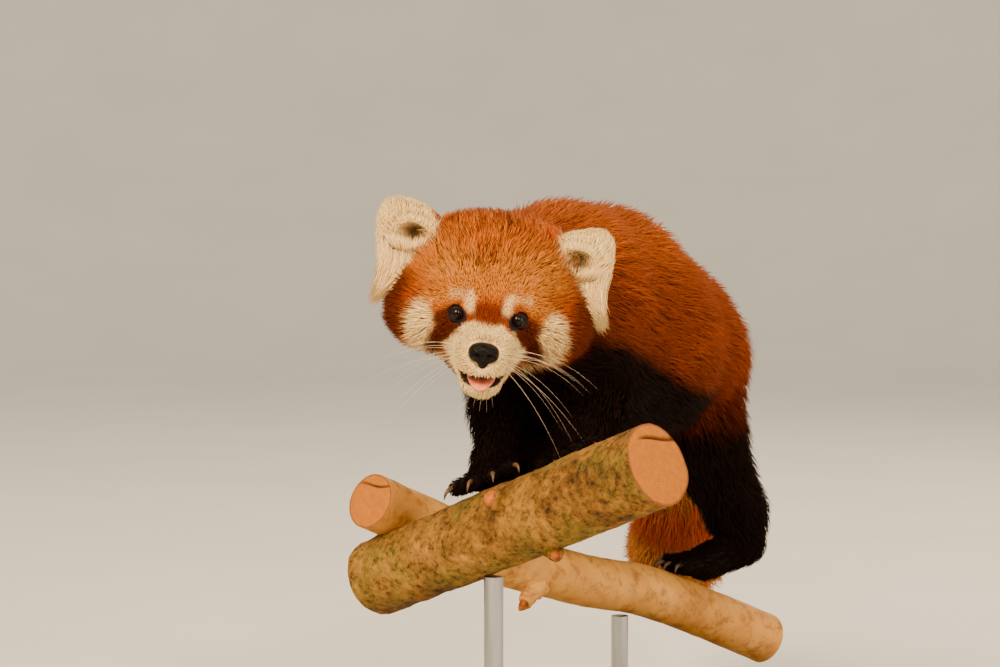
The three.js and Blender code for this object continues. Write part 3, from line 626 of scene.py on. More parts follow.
# Colours of the coat, in linear light
RUST = vec(0.31, 0.053, 0.003)
DEEP_RUST = vec(0.12, 0.018, 0.003)
GINGER = vec(0.54, 0.122, 0.007)
TAN = vec(0.68, 0.25, 0.032)
WHITE = vec(0.99, 0.68, 0.30)
BLACK = vec(0.0095, 0.0034, 0.0013)
TEAR = vec(0.10, 0.016, 0.003)
BUFF = vec(0.60, 0.22, 0.035)
EAR_DARK = vec(0.085, 0.046, 0.016)
LIP = vec(0.012, 0.006, 0.005)
MOUTH = vec(0.22, 0.035, 0.03)


def lay(colour, over, share):
    return colour + (over - colour) * share[:, None]


def spot(q, x, z, rx, rz, soft=0.35):
    """1 inside an oval on the face seen from the front, falling softly to 0"""
    away = np.sqrt(((np.abs(q[:, 0]) - x) / rx) ** 2 + ((q[:, 2] - z) / rz) ** 2)
    return 1 - smooth(away, 1 - soft, 1 + soft)


def stripe(q, a, b, half, soft):
    """1 along a stripe between two points of the face seen from the front"""
    d = np.subtract(b, a)
    x, z = np.abs(q[:, 0]) - a[0], q[:, 2] - a[1]
    t = np.clip((x * d[0] + z * d[1]) / (d @ d), 0, 1)
    return 1 - smooth(np.hypot(x - t * d[0], z - t * d[1]), half - soft, half + soft)


def head_colour(q):
    """The face and the rest of the head, from points (N, 3) in the head's own axes"""
    streak = noise(q * [1, 0.4, 0.4], 3.2, 97)
    patch = noise(q, 11, 99)
    q = q + 1.5 * noise3(q, 6, 90) + 0.7 * noise3(q, 2.2, 95)
    across = np.abs(q[:, 0])
    _, y, z = columns(q)
    front = 1 - smooth(y, -4, 18)
    made = np.tile(RUST * 1.25, (len(q), 1))
    crown = smooth(z, -14, 10) * (1 - smooth(across, 44, 66)) * (1 - 0.5 * smooth(z, 32, 50))
    made = lay(made, GINGER, crown)
    made = lay(made, TAN, 0.75 * smooth(z, -12, 6) * (1 - smooth(z, 20, 42)) * spot(q, 27, 4, 24, 26, 0.6))
    made = lay(made, TAN, 0.45 * (1 - smooth(across, 8, 18)) * smooth(z, -10, 2) * (1 - smooth(z, 14, 30)))
    grizzle = 0.5 * smooth(streak, 0.1, 0.6) + 0.4 * smooth(patch, 0.1, 0.6)
    made = lay(made, DEEP_RUST, grizzle * smooth(z, 4, 26))
    made = lay(made, DEEP_RUST * 1.1, 0.85 * smooth(across, 54, 63) * (1 - smooth(z, -8, 14)))
    made = lay(made, DEEP_RUST, 0.8 * smooth(-z, 48, 56) * smooth(across, 20, 30))
    made = lay(made, TAN, 0.8 * stripe(q, (42, -12), (30, -7), 6, 5) * front)
    made = lay(made, WHITE, 0.95 * spot(q, 47, -33, 11, 19.5, 0.22) * (1 - smooth(y, 16, 30)))
    made = lay(made, WHITE, 0.7 * stripe(q, (44, -48), (30, -54), 4.5, 3) * front)
    made = lay(made, TEAR, 0.96 * stripe(q, (25, -26), (36, -45), 7, 3) * front)
    made = lay(made, TEAR, 0.85 * stripe(q, (26, -20), (34, -24), 5, 3) * front)
    made = lay(made, DEEP_RUST * 1.7, 0.85 * spot(q, 0, -15.5, 15, 6.5, 0.4) * front)
    made = lay(made, WHITE, 0.8 * stripe(q, (13, -12), (14, -5), 3.4, 2.4) * front)
    made = lay(made, WHITE, 0.42 * stripe(q, (15, -4), (27, -4), 3.0, 2.6) * front)
    reach = np.interp(z, [-60, -42, -26, -19], [27, 29, 19, 9])
    muzzle = (1 - smooth(across - reach, -2.5, 2.5)) * (1 - smooth(z, -23, -17))
    muzzle = muzzle * (1 - smooth(y, -44, -28))
    made = lay(made, WHITE, muzzle)
    made = lay(made, EAR_DARK * 3, 0.5 * spot(q, 0, -30, 7, 4.5, 0.6) * (1 - smooth(y, -78, -62)))
    throat = smooth(-z, 54, 64) * smooth(y, -54, -40)
    made = lay(made, BLACK * 1.5, throat)
    for side in (1, -1):
        e = ear_local(columns(q), side)
        hollow = 1 - smooth(ear_pocket(e, side), -1.5, 1)
        made = lay(made, EAR_DARK * 1.2, 0.9 * hollow * smooth(e[1], -11, -6))
    nose = np.linalg.norm((q - NOSE) / [10.5, 11, 8.4], axis=1)
    return lay(made, EAR_DARK * 0.5, (1 - smooth(nose, 0.95, 1.12)) * 0.7)


def ear_colour(q, side):
    e = ear_local(columns(q), side)
    reach = np.hypot((e[0] + side * 4) / 14, (e[2] - 4) / 10.5)
    outside = smooth(e[1], 3, 8) * smooth(ball(e, *EAR_INNER), 4, 8)
    made = np.tile(WHITE, (len(q), 1))
    made = lay(made, EAR_DARK * 1.3, 0.92 * (1 - smooth(reach, 0.35, 1.05)) * (1 - outside))
    rim = smooth(np.hypot(e[0] / 25, (e[2] - 3) / 25), 0.72, 0.92)
    made = lay(made, DEEP_RUST, outside * (1 - rim))
    inward = np.abs(q[:, 0]) - 0.5 * np.maximum(e[2] - 8, 0)
    return lay(made, RUST * 1.3, 1 - smooth(inward, 37, 43))


def body_colour(p):
    p = p + 3.0 * noise3(p, 14, 40) + 1.2 * noise3(p, 4, 45)
    edge = np.interp(p[:, 1], [40, 100, 180, 300, 350], [-4, -18, -54, -62, -66])
    below = smooth(edge - p[:, 2], -9, 9)
    made = np.tile(RUST, (len(p), 1))
    made = lay(made, DEEP_RUST, 0.45 * smooth(edge - p[:, 2], -52, 0))
    made = lay(made, DEEP_RUST, 0.25 * smooth(noise(p, 16, 3), 0.0, 0.8))
    made = lay(made, GINGER, 0.6 * smooth(p[:, 2] + 0.1 * p[:, 1], 30, 92))
    return lay(made, BLACK, below)


def leg_colour(p, name):
    p = p + 3.0 * noise3(p, 14, 50)
    made = np.tile(BLACK, (len(p), 1))
    if name.startswith("hind"):
        made = lay(made, DEEP_RUST, smooth(p[:, 2], -104, -72))
        return lay(made, RUST, smooth(p[:, 2], -74, -44))
    return made


def tail_place(p):
    """Distance along the tail of the nearest point of its axis, and the length of the whole tail"""
    best = np.full(len(p), 1e9)
    along = np.zeros(len(p))
    run = 0.0
    for n in range(len(TAIL_POINTS) - 1):
        a, b = TAIL_POINTS[n], TAIL_POINTS[n + 1]
        d = b - a
        t = np.clip(((p - a) @ d) / (d @ d), 0, 1)
        away = np.linalg.norm(p - a - t[:, None] * d, axis=1)
        closer = away < best
        best = np.where(closer, away, best)
        along = np.where(closer, run + t * np.linalg.norm(d), along)
        run += np.linalg.norm(d)
    return along, run


def tail_colour(p):
    along, whole = tail_place(p)
    along = along + 5 * noise(p, 12, 60)
    made = np.tile(RUST * 1.8, (len(p), 1))
    band = smooth(np.sin(2 * np.pi * (along - 46) / (whole - 40) * TAIL_RINGS), -0.25, 0.45)
    made = lay(made, BUFF, band * smooth(along, 30, 60))
    return lay(made, DEEP_RUST * 0.7, smooth(along, whole - 26, whole - 6))


def weights_of(parts, reach=5.0):
    names = sorted(parts)
    stack = np.stack([parts[n] for n in names])
    share = np.exp(-(stack - stack.min(0)) / reach)
    share /= share.sum(0)
    return dict(zip(names, share))


def coat_colour(p, parts):
    """The markings, the same for skin and coat"""
    q = in_head(p)
    share = weights_of(parts, 2.5)
    made = share["trunk"][:, None] * body_colour(p)
    made += share["head"][:, None] * head_colour(q)
    made += share["tail"][:, None] * tail_colour(p)
    for side in (1, -1):
        made += share[f"ear{side}"][:, None] * ear_colour(q, side)
    for name in LIMBS:
        made += (share[name] + share["paw_" + name])[:, None] * leg_colour(p, name)
    return made


# Skin


COARSE = 5.0
FINE = 1.8
# The grid reaches from low to high on each axis, and is fine in the head
SKIN_GRID = ((-100, 244, -92, 92), (-108, 704, -104, 62), (-285, 104, -36, 102))


def build_skin():
    def field(p):
        p = tuple(c.astype(np.float32) for c in p)
        return carved(joined(fields_of(p, 1), 1), head_local(p))

    return surface(field, *(steps(*one) for one in SKIN_GRID))


def skin_colour(verts, parts):
    q = in_head(verts)
    made = coat_colour(verts, parts)
    # Painted shade: the skin under the coat is darker than the coat over it, least where the coat is pale
    made = made * (0.6 + 0.35 * made.max(1)[:, None])
    inside = mouth_field(columns(q))
    lip = (1 - smooth(inside, 0.6, 2.4)) * (1 - smooth(q[:, 1], -60, -52))
    made = lay(made, LIP, lip)
    made = lay(made, MOUTH, (1 - smooth(inside, -1.0, 0.2)) * smooth(q[:, 1], -76, -66))
    for centre in EYES.values():
        made = lay(made, LIP, 1 - smooth(socket_field(columns(q), centre), 0.4, 1.9))
    return made


# Lie, length and width of the coat


def chain_lie(p, links):
    """Direction of the nearest links of a chain"""
    away = np.stack([link(columns(p), a, b, ra, rb) for a, b, ra, rb, *_ in links])
    share = np.exp(-(away - away.min(0)) / 8)
    return sum(share[n][:, None] * unit(one[1] - one[0]) for n, one in enumerate(links))


NOSE_TIP = vec(0, -99, -34)


def lie_of(p, parts):
    """Which way the hair runs"""
    q = in_head(p)
    share = weights_of(parts)
    made = share["trunk"][:, None] * vec(0.40, 0.90, -0.42)
    away = unit(q - NOSE_TIP)
    droop = smooth(np.abs(q[:, 0]), 20, 60) * smooth(-q[:, 2], -10, 30)
    away = away + np.stack([np.sign(q[:, 0]) * 0.5 * droop, 0.2 + 0 * droop, -0.45 * droop], axis=1)
    for centre in EYES.values():
        rel = (q - centre) * [1, 0, 1]
        near = (1 - smooth(np.linalg.norm(rel, axis=1), 8, 15)) * (q[:, 1] < -30)
        away = away + 2.6 * near[:, None] * unit(rel)
    chin = smooth(-q[:, 2], 58, 64) * (1 - smooth(q[:, 1], -62, -48))
    away = away + chin[:, None] * vec(0, -0.5, -1.2)
    ruffled = 0.45 * smooth(q[:, 2], -12, 14)[:, None] * noise3(q, 6.5, 23)
    made += share["head"][:, None] * ((unit(away) + ruffled) @ HEAD_TURN.T)
    made += share["tail"][:, None] * chain_lie(p, TAIL)
    for side in (1, -1):
        e = ear_local(columns(q), side)
        out = unit(np.stack([e[0], 0 * e[0], e[2] + 16], axis=1)) @ ear_turn(side).T
        made += share[f"ear{side}"][:, None] * (out @ HEAD_TURN.T)
    for name, limb in LIMBS.items():
        made += share[name][:, None] * chain_lie(p, limb["links"])
        toes = unit(sum(limb["toes"]) / 2 - limb["palm"])
        made += share["paw_" + name][:, None] * (toes + vec(0, 0, -0.25))
    return unit(made) + 0.26 * noise3(p, 26, 11) + 0.2 * noise3(p, 9, 17)


def head_length(q):
    cheek = smooth(np.abs(q[:, 0]), 34, 60) * smooth(-q[:, 2], -14, 20)
    made = 3.4 + 12 * smooth(q[:, 1], -64, 4) + 4 * smooth(q[:, 2], 12, 44)
    made = made + 11 * cheek
    for centre in EYES.values():
        away = np.linalg.norm(q - centre, axis=1)
        made = made * (0.5 + 0.5 * smooth(away, 10, 26))
    return made + 2.2 * chin_share(q)


def chin_share(q):
    return smooth(-q[:, 2], 59, 64) * (1 - smooth(q[:, 1], -62, -46))


def sizes_of(p, parts):
    """Length, width, share of the coat's depth that tips reach, and tufts for each square millimetre"""
    q = in_head(p)
    share = weights_of(parts)
    face = 1 - smooth(q[:, 1], -30, 10)
    table = {
        "trunk": (34, 1.3, 1.1, 0.31),
        "tail": (42, 1.5, 1.1, 0.28),
        "ear1": (10, 0.65, 1.6, 1.25),
        "ear-1": (10, 0.65, 1.6, 1.25),
    }
    for name in LIMBS:
        table[name] = (19, 1.2, 1.0, 0.24)
        table["paw_" + name] = (9.5, 0.95, 1.0, 0.36)
    mixed = [sum(share[k] * v[c] for k, v in table.items()) for c in range(4)]
    rise = 0.95 + 0.1 * face + 1.5 * chin_share(q)
    head = (head_length(q), 1.05 - 0.38 * face, rise, 1.1 + 0.25 * face)
    return [made + share["head"] * one for made, one in zip(mixed, head)]


# Tufts


CLIMB = 0.62
MOST_CLIMB = 12


def comb(roots, depth, lie, length, rise, count):
    """Paths of count + 1 points that leave the skin, climb to the outline of the coat and lie along it"""
    path = [roots]
    normals = [slope(roots, 1)[0]]
    q = roots
    for n in range(1, count + 1):
        t = n / count
        normal, _ = slope(q, 0)
        along = unit(lie - normal * np.sum(lie * normal, axis=1)[:, None])
        q = q + along * (length / count)[:, None]
        normal, here = slope(q, 0)
        target = -depth * (1 - rise * t**CLIMB)
        q = q + normal * np.clip(target - here, -MOST_CLIMB, MOST_CLIMB)[:, None]
        path.append(q)
        normals.append(normal)
    return np.stack(path, axis=1), np.stack(normals, axis=1)


WIDTHS = {2: (0.75, 0.9), 3: (0.7, 1.0, 0.72)}
RIDGE = 0.32


def tuft_faces(count):
    made = [(0, 2, 1)]
    for k in range(3):
        m = (k + 1) % 3
        for n in range(count - 1):
            a, b = 3 * n + k, 3 * n + m
            made += [(a, b, b + 3), (a, b + 3, a + 3)]
        made.append((3 * (count - 1) + k, 3 * (count - 1) + m, 3 * count))
    return np.array(made)


def tuft_mesh(path, normals, width, twist):
    """Vertices (tufts, 3 * count + 1, 3) of flat tapered tufts with a low ridge"""
    count = path.shape[1] - 1
    rings = []
    for n in range(count):
        tangent = unit(path[:, n + 1] - path[:, max(n - 1, 0)])
        across = unit(np.cross(normals[:, n], tangent))
        lift = np.cross(tangent, across)
        c, s = np.cos(twist)[:, None], np.sin(twist)[:, None]
        across, lift = across * c + lift * s, lift * c - across * s
        w = (WIDTHS[count][n] * width / 2)[:, None]
        for a, b in ((w, 0), (0 * w, 2 * RIDGE * w), (-w, 0)):
            rings.append(path[:, n] + across * a + lift * b)
    rings.append(path[:, count])
    return np.stack(rings, axis=1)


PATCH = 0.003
SEGMENTS = 2
ROOT_DEPTH = 0.8
COAT_DEPTHS = (1.2, 24)


def tuft_object(name, path, normals, width, twist, chart, material, slot):
    """A piece of tufts with its bake map, and the share of the way to the tip of each vertex of a tuft"""
    verts = tuft_mesh(path, normals, width, twist)
    count, per, _ = verts.shape
    points = path.shape[1] - 1
    faces = tuft_faces(points)[None] + (np.arange(count) * per)[:, None, None]
    obj = make_object(name, verts.reshape(-1, 3), faces.reshape(-1, 3), material, slot)
    along = np.minimum(np.arange(per) // 3, points) / points
    side = np.array([(-1, 0, 1)[k % 3] if k < 3 * points else 0 for k in range(per)]) * PATCH / 2
    uv = chart[:, None] + np.stack([side, (along - 0.5) * PATCH], axis=1)[None]
    layer = obj.data.uv_layers.new(name="OFBake")
    layer.data.foreach_set("uv", uv.reshape(-1, 2)[faces.ravel()].astype(np.float32).ravel())
    return obj, along


def grow(name, roots, parts, material, chart, slot):
    """One piece of coat: a tuft at each root"""
    length, width, rise, _ = sizes_of(roots, parts)
    n = len(roots)
    length = length * rng.uniform(0.72, 1.18, n)
    width = width * rng.uniform(0.75, 1.25, n)
    _, outline = slope(roots, 0)
    depth = np.clip(-outline, *COAT_DEPTHS)
    rise = rise * rng.uniform(0.5, 1.25, n)
    clump = noise(roots, 5, 35)
    length = length * (1 + 0.16 * clump)
    rise = rise * (1 + 0.22 * clump)
    lie = lie_of(roots, parts) + 0.13 * rng.normal(size=(n, 3))
    path, normals = comb(roots, depth, lie, length, rise, SEGMENTS)
    path[:, 0] -= normals[:, 0] * ROOT_DEPTH
    twist = rng.uniform(-0.5, 0.5, n)
    obj, along = tuft_object(name, path, normals, width, twist, chart(roots), material, slot)
    middle = path[:, SEGMENTS - 1]
    colour = coat_colour(middle, parts_at(middle))
    shade = (rng.uniform(0.8, 1.16, n) * (1 + 0.14 * noise(roots, 11, 31)))[:, None]
    warm = 1 + rng.normal(size=(n, 1)) * vec(0.02, 0.05, 0.09)
    colour = np.clip(colour * shade * warm, 0.002, 1)
    q = in_head(roots)
    grizzle = smooth(q[:, 2], -4, 16) * (1 - smooth(q[:, 1], 30, 60)) * (name in ("coat_brow", "coat_crown"))
    draw = rng.uniform(0, 1, n)
    colour = lay(colour, DEEP_RUST * 0.6, 0.7 * grizzle * (draw < 0.16))
    colour = lay(colour, TAN * 1.1, 0.55 * grizzle * (draw > 0.78))
    # Painted shade and light: each tuft is darker at its root, deep in the coat, and lighter towards its tip
    root_shade = 0.56 + 0.26 * colour.max(1)[:, None]
    tone = root_shade + (1.12 - root_shade) * along[None]
    paint(obj, np.clip(colour[:, None] * tone[:, :, None], 0, 1).reshape(-1, 3))


# Unwraps of the skin's own shape


def framed(u, v):
    """Keep a chart inside the unit square, with a margin for the patches"""
    return np.stack([0.01 + 0.98 * u, 0.01 + 0.98 * v], axis=1)


def round_axis(p, a, b):
    """Share of the way from a to b, and the turn about that axis, both 0 to 1"""
    axis = unit(b - a)
    side = unit(np.cross(axis, vec(0.1, 0.2, 1)))
    up = np.cross(side, axis)
    rel = p - a
    along = (rel @ axis) / np.linalg.norm(b - a)
    return along, (np.arctan2(rel @ side, rel @ up) / (2 * np.pi)) % 1


def axis_chart(a, b, spare=0.35):
    def chart(p):
        along, turn = round_axis(p, a, b)
        return framed(turn, np.clip((along + spare) / (1 + 2 * spare), 0, 1))

    return chart


def head_chart(p):
    q = in_head(p)
    turn = np.arctan2(q[:, 0], -q[:, 1]) / (2 * np.pi) + 0.5
    rise = np.arctan2(q[:, 2] + 14, np.hypot(q[:, 0], q[:, 1])) / np.pi + 0.5
    return framed(turn, rise)


def face_chart(p):
    """The front of the head turned about an axis that runs up through it, opened to the whole square"""
    q = in_head(p)
    turn = np.arctan2(q[:, 0], -q[:, 1] + 18) / np.pi + 0.5
    rise = np.arctan2(q[:, 2] + 26, np.hypot(q[:, 0], q[:, 1] - 10)) / 2.4 + 0.5
    return framed(np.clip(turn, 0, 1), np.clip(rise, 0, 1))


def ears_chart(p):
    """Each ear has half the square, and each face of its cup half of that"""
    q = in_head(p)
    u, v = np.zeros(len(p)), np.zeros(len(p))
    for side in (1, -1):
        here = np.sign(q[:, 0]) == side
        e = ear_local(columns(q), side)
        turn = 0.5 + 0.48 * np.clip(e[0] / 30, -1, 1)
        u = np.where(here, 0.25 * (e[1] > 4) + 0.25 * turn + 0.25 * (1 + side), u)
        v = np.where(here, 0.5 + 0.48 * np.clip(e[2] / 45, -1, 1), v)
    return framed(u, v)


def limbs_chart(p, names, parts):
    nearest = np.argmin(np.stack([np.minimum(parts[n], parts["paw_" + n]) for n in names]), axis=0)
    u, v = np.zeros(len(p)), np.zeros(len(p))
    for n, name in enumerate(names):
        limb = LIMBS[name]
        along, turn = round_axis(p, limb["links"][0][0], limb["palm"])
        here = nearest == n
        u = np.where(here, (n + 0.02 + 0.96 * turn) / len(names), u)
        v = np.where(here, np.clip((along + 0.45) / 1.9, 0, 1), v)
    return framed(u, v)


def tail_chart(p):
    along, whole = tail_place(p)
    _, turn = round_axis(p, TAIL_POINTS[2], TAIL_POINTS[5])
    return framed(turn, along / whole)


# Roots spread evenly over the skin


def spread(verts, quads, density):
    """Points on the skin, as many for each face as its area and the density there ask for"""
    tris = np.concatenate([quads[:, [0, 1, 2]], quads[:, [0, 2, 3]]])
    corner = verts[tris]
    area = np.linalg.norm(np.cross(corner[:, 1] - corner[:, 0], corner[:, 2] - corner[:, 0]), axis=1) / 2
    centre = corner.mean(1)
    wanted = area * density(centre)
    total = np.cumsum(wanted)
    marks = np.arange(total[-1])
    marks = marks + rng.uniform(0, 1, len(marks))
    face = np.searchsorted(total, np.minimum(marks, total[-1] - 1e-6))
    a, b = rng.uniform(0, 1, (2, len(face)))
    flip = a + b > 1
    a, b = np.where(flip, 1 - a, a), np.where(flip, 1 - b, b)
    c = corner[face]
    return c[:, 0] + a[:, None] * (c[:, 1] - c[:, 0]) + b[:, None] * (c[:, 2] - c[:, 0])


def free_of_wood(p):
    """Distance from the bark of either branch"""
    q = columns(p)
    rear = [link(q, *REAR_AXIS[n : n + 2], REAR_MEAN, REAR_MEAN) for n in range(len(REAR_AXIS) - 1)]
    return np.min([link(q, *FRONT_AXIS, *FRONT_RADII), *rear], axis=0)


# How far from each the hair starts
BARE = {"eye": 0.5, "socket": 1.2, "nose": 0.6, "mouth": 0.9, "wood": 2.5}
SOCKET_FRONT = -40


def hairless(p):
    """Where no hair grows: the eyes, the nose pad, the open mouth, and the soles on the wood"""
    q = in_head(p)
    bare = mouth_field(columns(q)) < BARE["mouth"]
    for centre in EYES.values():
        bare |= np.linalg.norm(q - centre, axis=1) < EYE_RADIUS + BARE["eye"]
        bare |= (socket_field(columns(q), centre) < BARE["socket"]) & (q[:, 1] < SOCKET_FRONT)
    bare |= nose_field(columns(q)) < BARE["nose"]
    return bare | (free_of_wood(p) < BARE["wood"])


def nose_field(q):
    shapes = [
        ball(q, NOSE + vec(0, 1.5, 3.2), vec(9.6, 8, 5.4)),
        ball(q, NOSE + vec(-5, 1.5, 0.5), vec(5.6, 7, 5.8)),
        ball(q, NOSE + vec(5, 1.5, 0.5), vec(5.6, 7, 5.8)),
        ball(q, NOSE + vec(0, 2, -5), vec(4.6, 5.4, 5.6)),
    ]
    return melted(shapes, 3)


# Where the coat of the head is parted into pieces, in the head's own axes
FACE_DEPTH = -14
BROW_LINE = -14
CHEEK_LINE = -6
TRUNK_BANDS = ((-1e3, 125), (125, 200), (200, 275), (275, 1e3))


def build_coat(verts, quads):
    long_hair = coat_material("long_coat", 0.62)
    short_hair = coat_material("short_coat", 0.7)

    def density(centre):
        parts = parts_at(centre)
        return sizes_of(centre, parts)[3] * ~hairless(centre)

    roots = spread(verts, quads, density)
    parts = parts_at(roots)
    names = sorted(parts)
    nearest = np.array(names)[np.argmin(np.stack([parts[n] for n in names]), axis=0)]
    q = in_head(roots)
    is_head = nearest == "head"
    front = is_head & (q[:, 1] < FACE_DEPTH)
    back = is_head & (q[:, 1] >= FACE_DEPTH)
    is_ear = np.char.startswith(nearest, "ear")
    along, whole = tail_place(roots)
    pieces = [
        ("coat_face", front & (q[:, 2] < BROW_LINE), short_hair, face_chart, "coat_cream"),
        ("coat_brow", front & (q[:, 2] >= BROW_LINE), short_hair, face_chart, "coat_ginger"),
        ("coat_crown", back & (q[:, 2] >= CHEEK_LINE), long_hair, head_chart, "coat_ginger"),
        ("coat_cheeks", back & (q[:, 2] < CHEEK_LINE), long_hair, head_chart, "coat_cream"),
        ("coat_ears", is_ear, short_hair, ears_chart, "coat_cream"),
    ]
    trunk_chart = axis_chart(NAPE, RUMP)
    for n, (low, high) in enumerate(TRUNK_BANDS):
        pick = (nearest == "trunk") & (roots[:, 1] >= low) & (roots[:, 1] < high)
        pieces.append((f"coat_body_{n + 1}", pick, long_hair, trunk_chart, "coat_rust"))
    for n in range(2):
        pick = (nearest == "tail") & (along >= whole * n / 2) & (along < whole * (n + 1) / 2 + n)
        pieces.append((f"coat_tail_{n + 1}", pick, long_hair, tail_chart, "coat_rust"))
    for pair in ("fore", "hind"):
        limbs = [f"{pair}leg_left", f"{pair}leg_right"]

        def chart(p, limbs=limbs):
            return limbs_chart(p, limbs, parts_at(p))

        legs = np.isin(nearest, limbs)
        paws = np.isin(nearest, ["paw_" + n for n in limbs])
        pieces.append((f"coat_{pair}legs", legs, long_hair, chart, "coat_black"))
        pieces.append((f"coat_{pair}paws", paws, short_hair, chart, "coat_black"))
    for name, pick, material, chart, slot in pieces:
        some = {key: value[pick] for key, value in parts.items()}
        grow(name, roots[pick], some, material, chart, slot)


# Eyes, lids, nose, tongue, claws and whiskers


def ring_mesh(rings, close_start=False, close_end=False):
    """Quads through rings of equally many points, as vertices and triangles"""
    count = len(rings[0])
    verts = list(np.concatenate(rings))
    faces = []
    for r in range(len(rings) - 1):
        for n in range(count):
            a, b = r * count + n, r * count + (n + 1) % count
            faces += [(a, b, b + count), (a, b + count, a + count)]
    for closed, r, order in ((close_start, 0, (0, 2, 1)), (close_end, len(rings) - 1, (0, 1, 2))):
        if closed:
            verts.append(np.mean(rings[r], axis=0))
            for n in range(count):
                three = (len(verts) - 1, r * count + n, r * count + (n + 1) % count)
                faces.append(tuple(three[k] for k in order))
    return np.array(verts), np.array(faces)


def merged(meshes):
    """Several (vertices, faces) as one"""
    starts = np.cumsum([0] + [len(verts) for verts, _ in meshes])
    faces = [faces + start for (_, faces), start in zip(meshes, starts)]
    return np.concatenate([verts for verts, _ in meshes]), np.concatenate(faces)


def polar(side, angle, turn, radius, centre):
    """A ring round an eye's line of sight, at an angle from it for each turn"""
    look = eye_look(side)
    right = unit(np.cross(look, vec(0, 0, 1)))
    out = np.cos(turn)[:, None] * right + np.sin(turn)[:, None] * np.cross(right, look)
    ring = centre + radius * (np.cos(angle)[:, None] * look + np.sin(angle)[:, None] * out)
    return to_world(ring)


def build_eyes():
    m = Nodes("eye")
    m.colour(m.painted())
    m.set(Roughness=0.03, IOR=1.36, Specular_IOR_Level=0.26)
    lid = Nodes("eye_lid")
    lid.colour(lid.ramp(lid.noise(900, 3), [(0.3, (0.004, 0.002, 0.002)), (0.7, (0.012, 0.006, 0.004))]))
    lid.set(Roughness=0.5, Specular_IOR_Level=0.12)
    lid.bump(lid.noise(1500, 3), 0.4, 0.0003)
    turn = turns(EYE_SIDES)
    for name, centre in EYES.items():
        side = np.sign(centre[0])
        rings, tones = [], []
        for k in range(1, EYE_RINGS):
            angle = np.pi * k / EYE_RINGS
            bulge = EYE_BULGE * (1 - smooth(np.degrees(angle), 8, 42))
            rings.append(polar(side, np.full(EYE_SIDES, angle), turn, EYE_RADIUS - 0.05 + bulge, centre))
            iris = smooth(np.degrees(angle), 17, 21) * (1 - smooth(np.degrees(angle), 40, 47))
            streak = 0.75 + 0.25 * np.sin(turn * 23 + 2 * np.sin(turn * 5))
            tones.append(vec(0.003, 0.002, 0.002) + iris * streak[:, None] * vec(0.012, 0.004, 0.0015))
        verts, faces = ring_mesh(rings, True, True)
        eye = make_object(name + "_ball", verts, faces[:, ::-1], m.material, "eye")
        paint(eye, np.concatenate([*tones, np.full((2, 3), 0.006)]))
        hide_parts(name)
        corner = np.exp(-((np.cos(turn - (np.pi if side > 0 else 0)) - 1) ** 2) / 0.02)
        opening = np.radians(LID_OPENING) + np.radians(9) * corner + np.radians(1.5) * np.abs(np.cos(turn))
        brow = 1 + 0.3 * np.maximum(np.sin(turn), 0)
        shape = [(0, 1.0), (-0.5, 1.025), (1.5, 1.06), (6, 1.08), (14, 1.07), (22, 1.02), (30, 0.92)]
        rings = [polar(side, opening + np.radians(d) * brow, turn, r * EYE_RADIUS, centre) for d, r in shape]
        verts, faces = ring_mesh(rings)
        make_object(name.replace("eye", "lids"), verts, faces[:, ::-1], lid.material, "nose_leather")


def build_nose():
    m = Nodes("nose_leather")
    m.colour(m.ramp(m.noise(500, 4), [(0.3, (0.002, 0.001, 0.001)), (0.75, (0.009, 0.006, 0.005))]))
    m.set(Roughness=0.26, Specular_IOR_Level=0.08)
    m.bump(m.cells(1300), 0.5, 0.0005)

    def field(p):
        made = nose_field(p)
        for side in (1, -1):
            pit = ball(p, NOSE + vec(side * 4.4, -6.2, -0.6), vec(2.3, 3.4, 1.9))
            slit = link(p, NOSE + vec(side * 5.5, -5.6, -0.8), NOSE + vec(side * 9.4, -3.0, -1.4), 1.5, 0.8)
            made = np.maximum(made, -melt(pit, slit, 1.5))
        groove = link(p, NOSE + vec(0, -7.3, -2.0), NOSE + vec(0, -3.6, -11), 0.75, 0.75)
        return np.maximum(made, -groove)

    grid = [np.arange(-15, 15.1, 0.55) + NOSE[n] for n in range(3)]
    verts, quads = surface(field, *grid)
    nose = make_object("nose_pad", to_world(verts), quads, m.material, "nose_leather")
    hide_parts("nose")


def build_tongue():
    m = Nodes("tongue")
    m.colour(m.ramp(m.noise(260, 4), [(0.3, (0.70, 0.15, 0.085)), (0.75, (0.86, 0.27, 0.16))]))
    m.set(Roughness=0.36, Subsurface_Weight=0.15, Subsurface_Scale=0.002, Specular_IOR_Level=0.3)
    m.bump(m.cells(1500), 0.35, 0.0004)

    def field(p):
        dip = 0.012 * np.maximum(0, -66 - p[1]) ** 2
        groove = 0.9 * np.exp(-((p[0] / 1.6) ** 2)) * (p[2] + dip > -60)
        cupped = 0.012 * p[0] ** 2
        return ball((p[0], p[1], p[2] + dip - cupped + 0.3), vec(0, -64, -60), vec(10.2, 22, 3.4)) + groove

    grid = [np.arange(low, high, 0.8) for low, high in ((-14, 14.1), (-90, -42), (-76, -53))]
    verts, quads = surface(field, *grid)
    tongue = make_object("tongue_tip", to_world(verts), quads, m.material, "tongue")
    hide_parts("tongue")


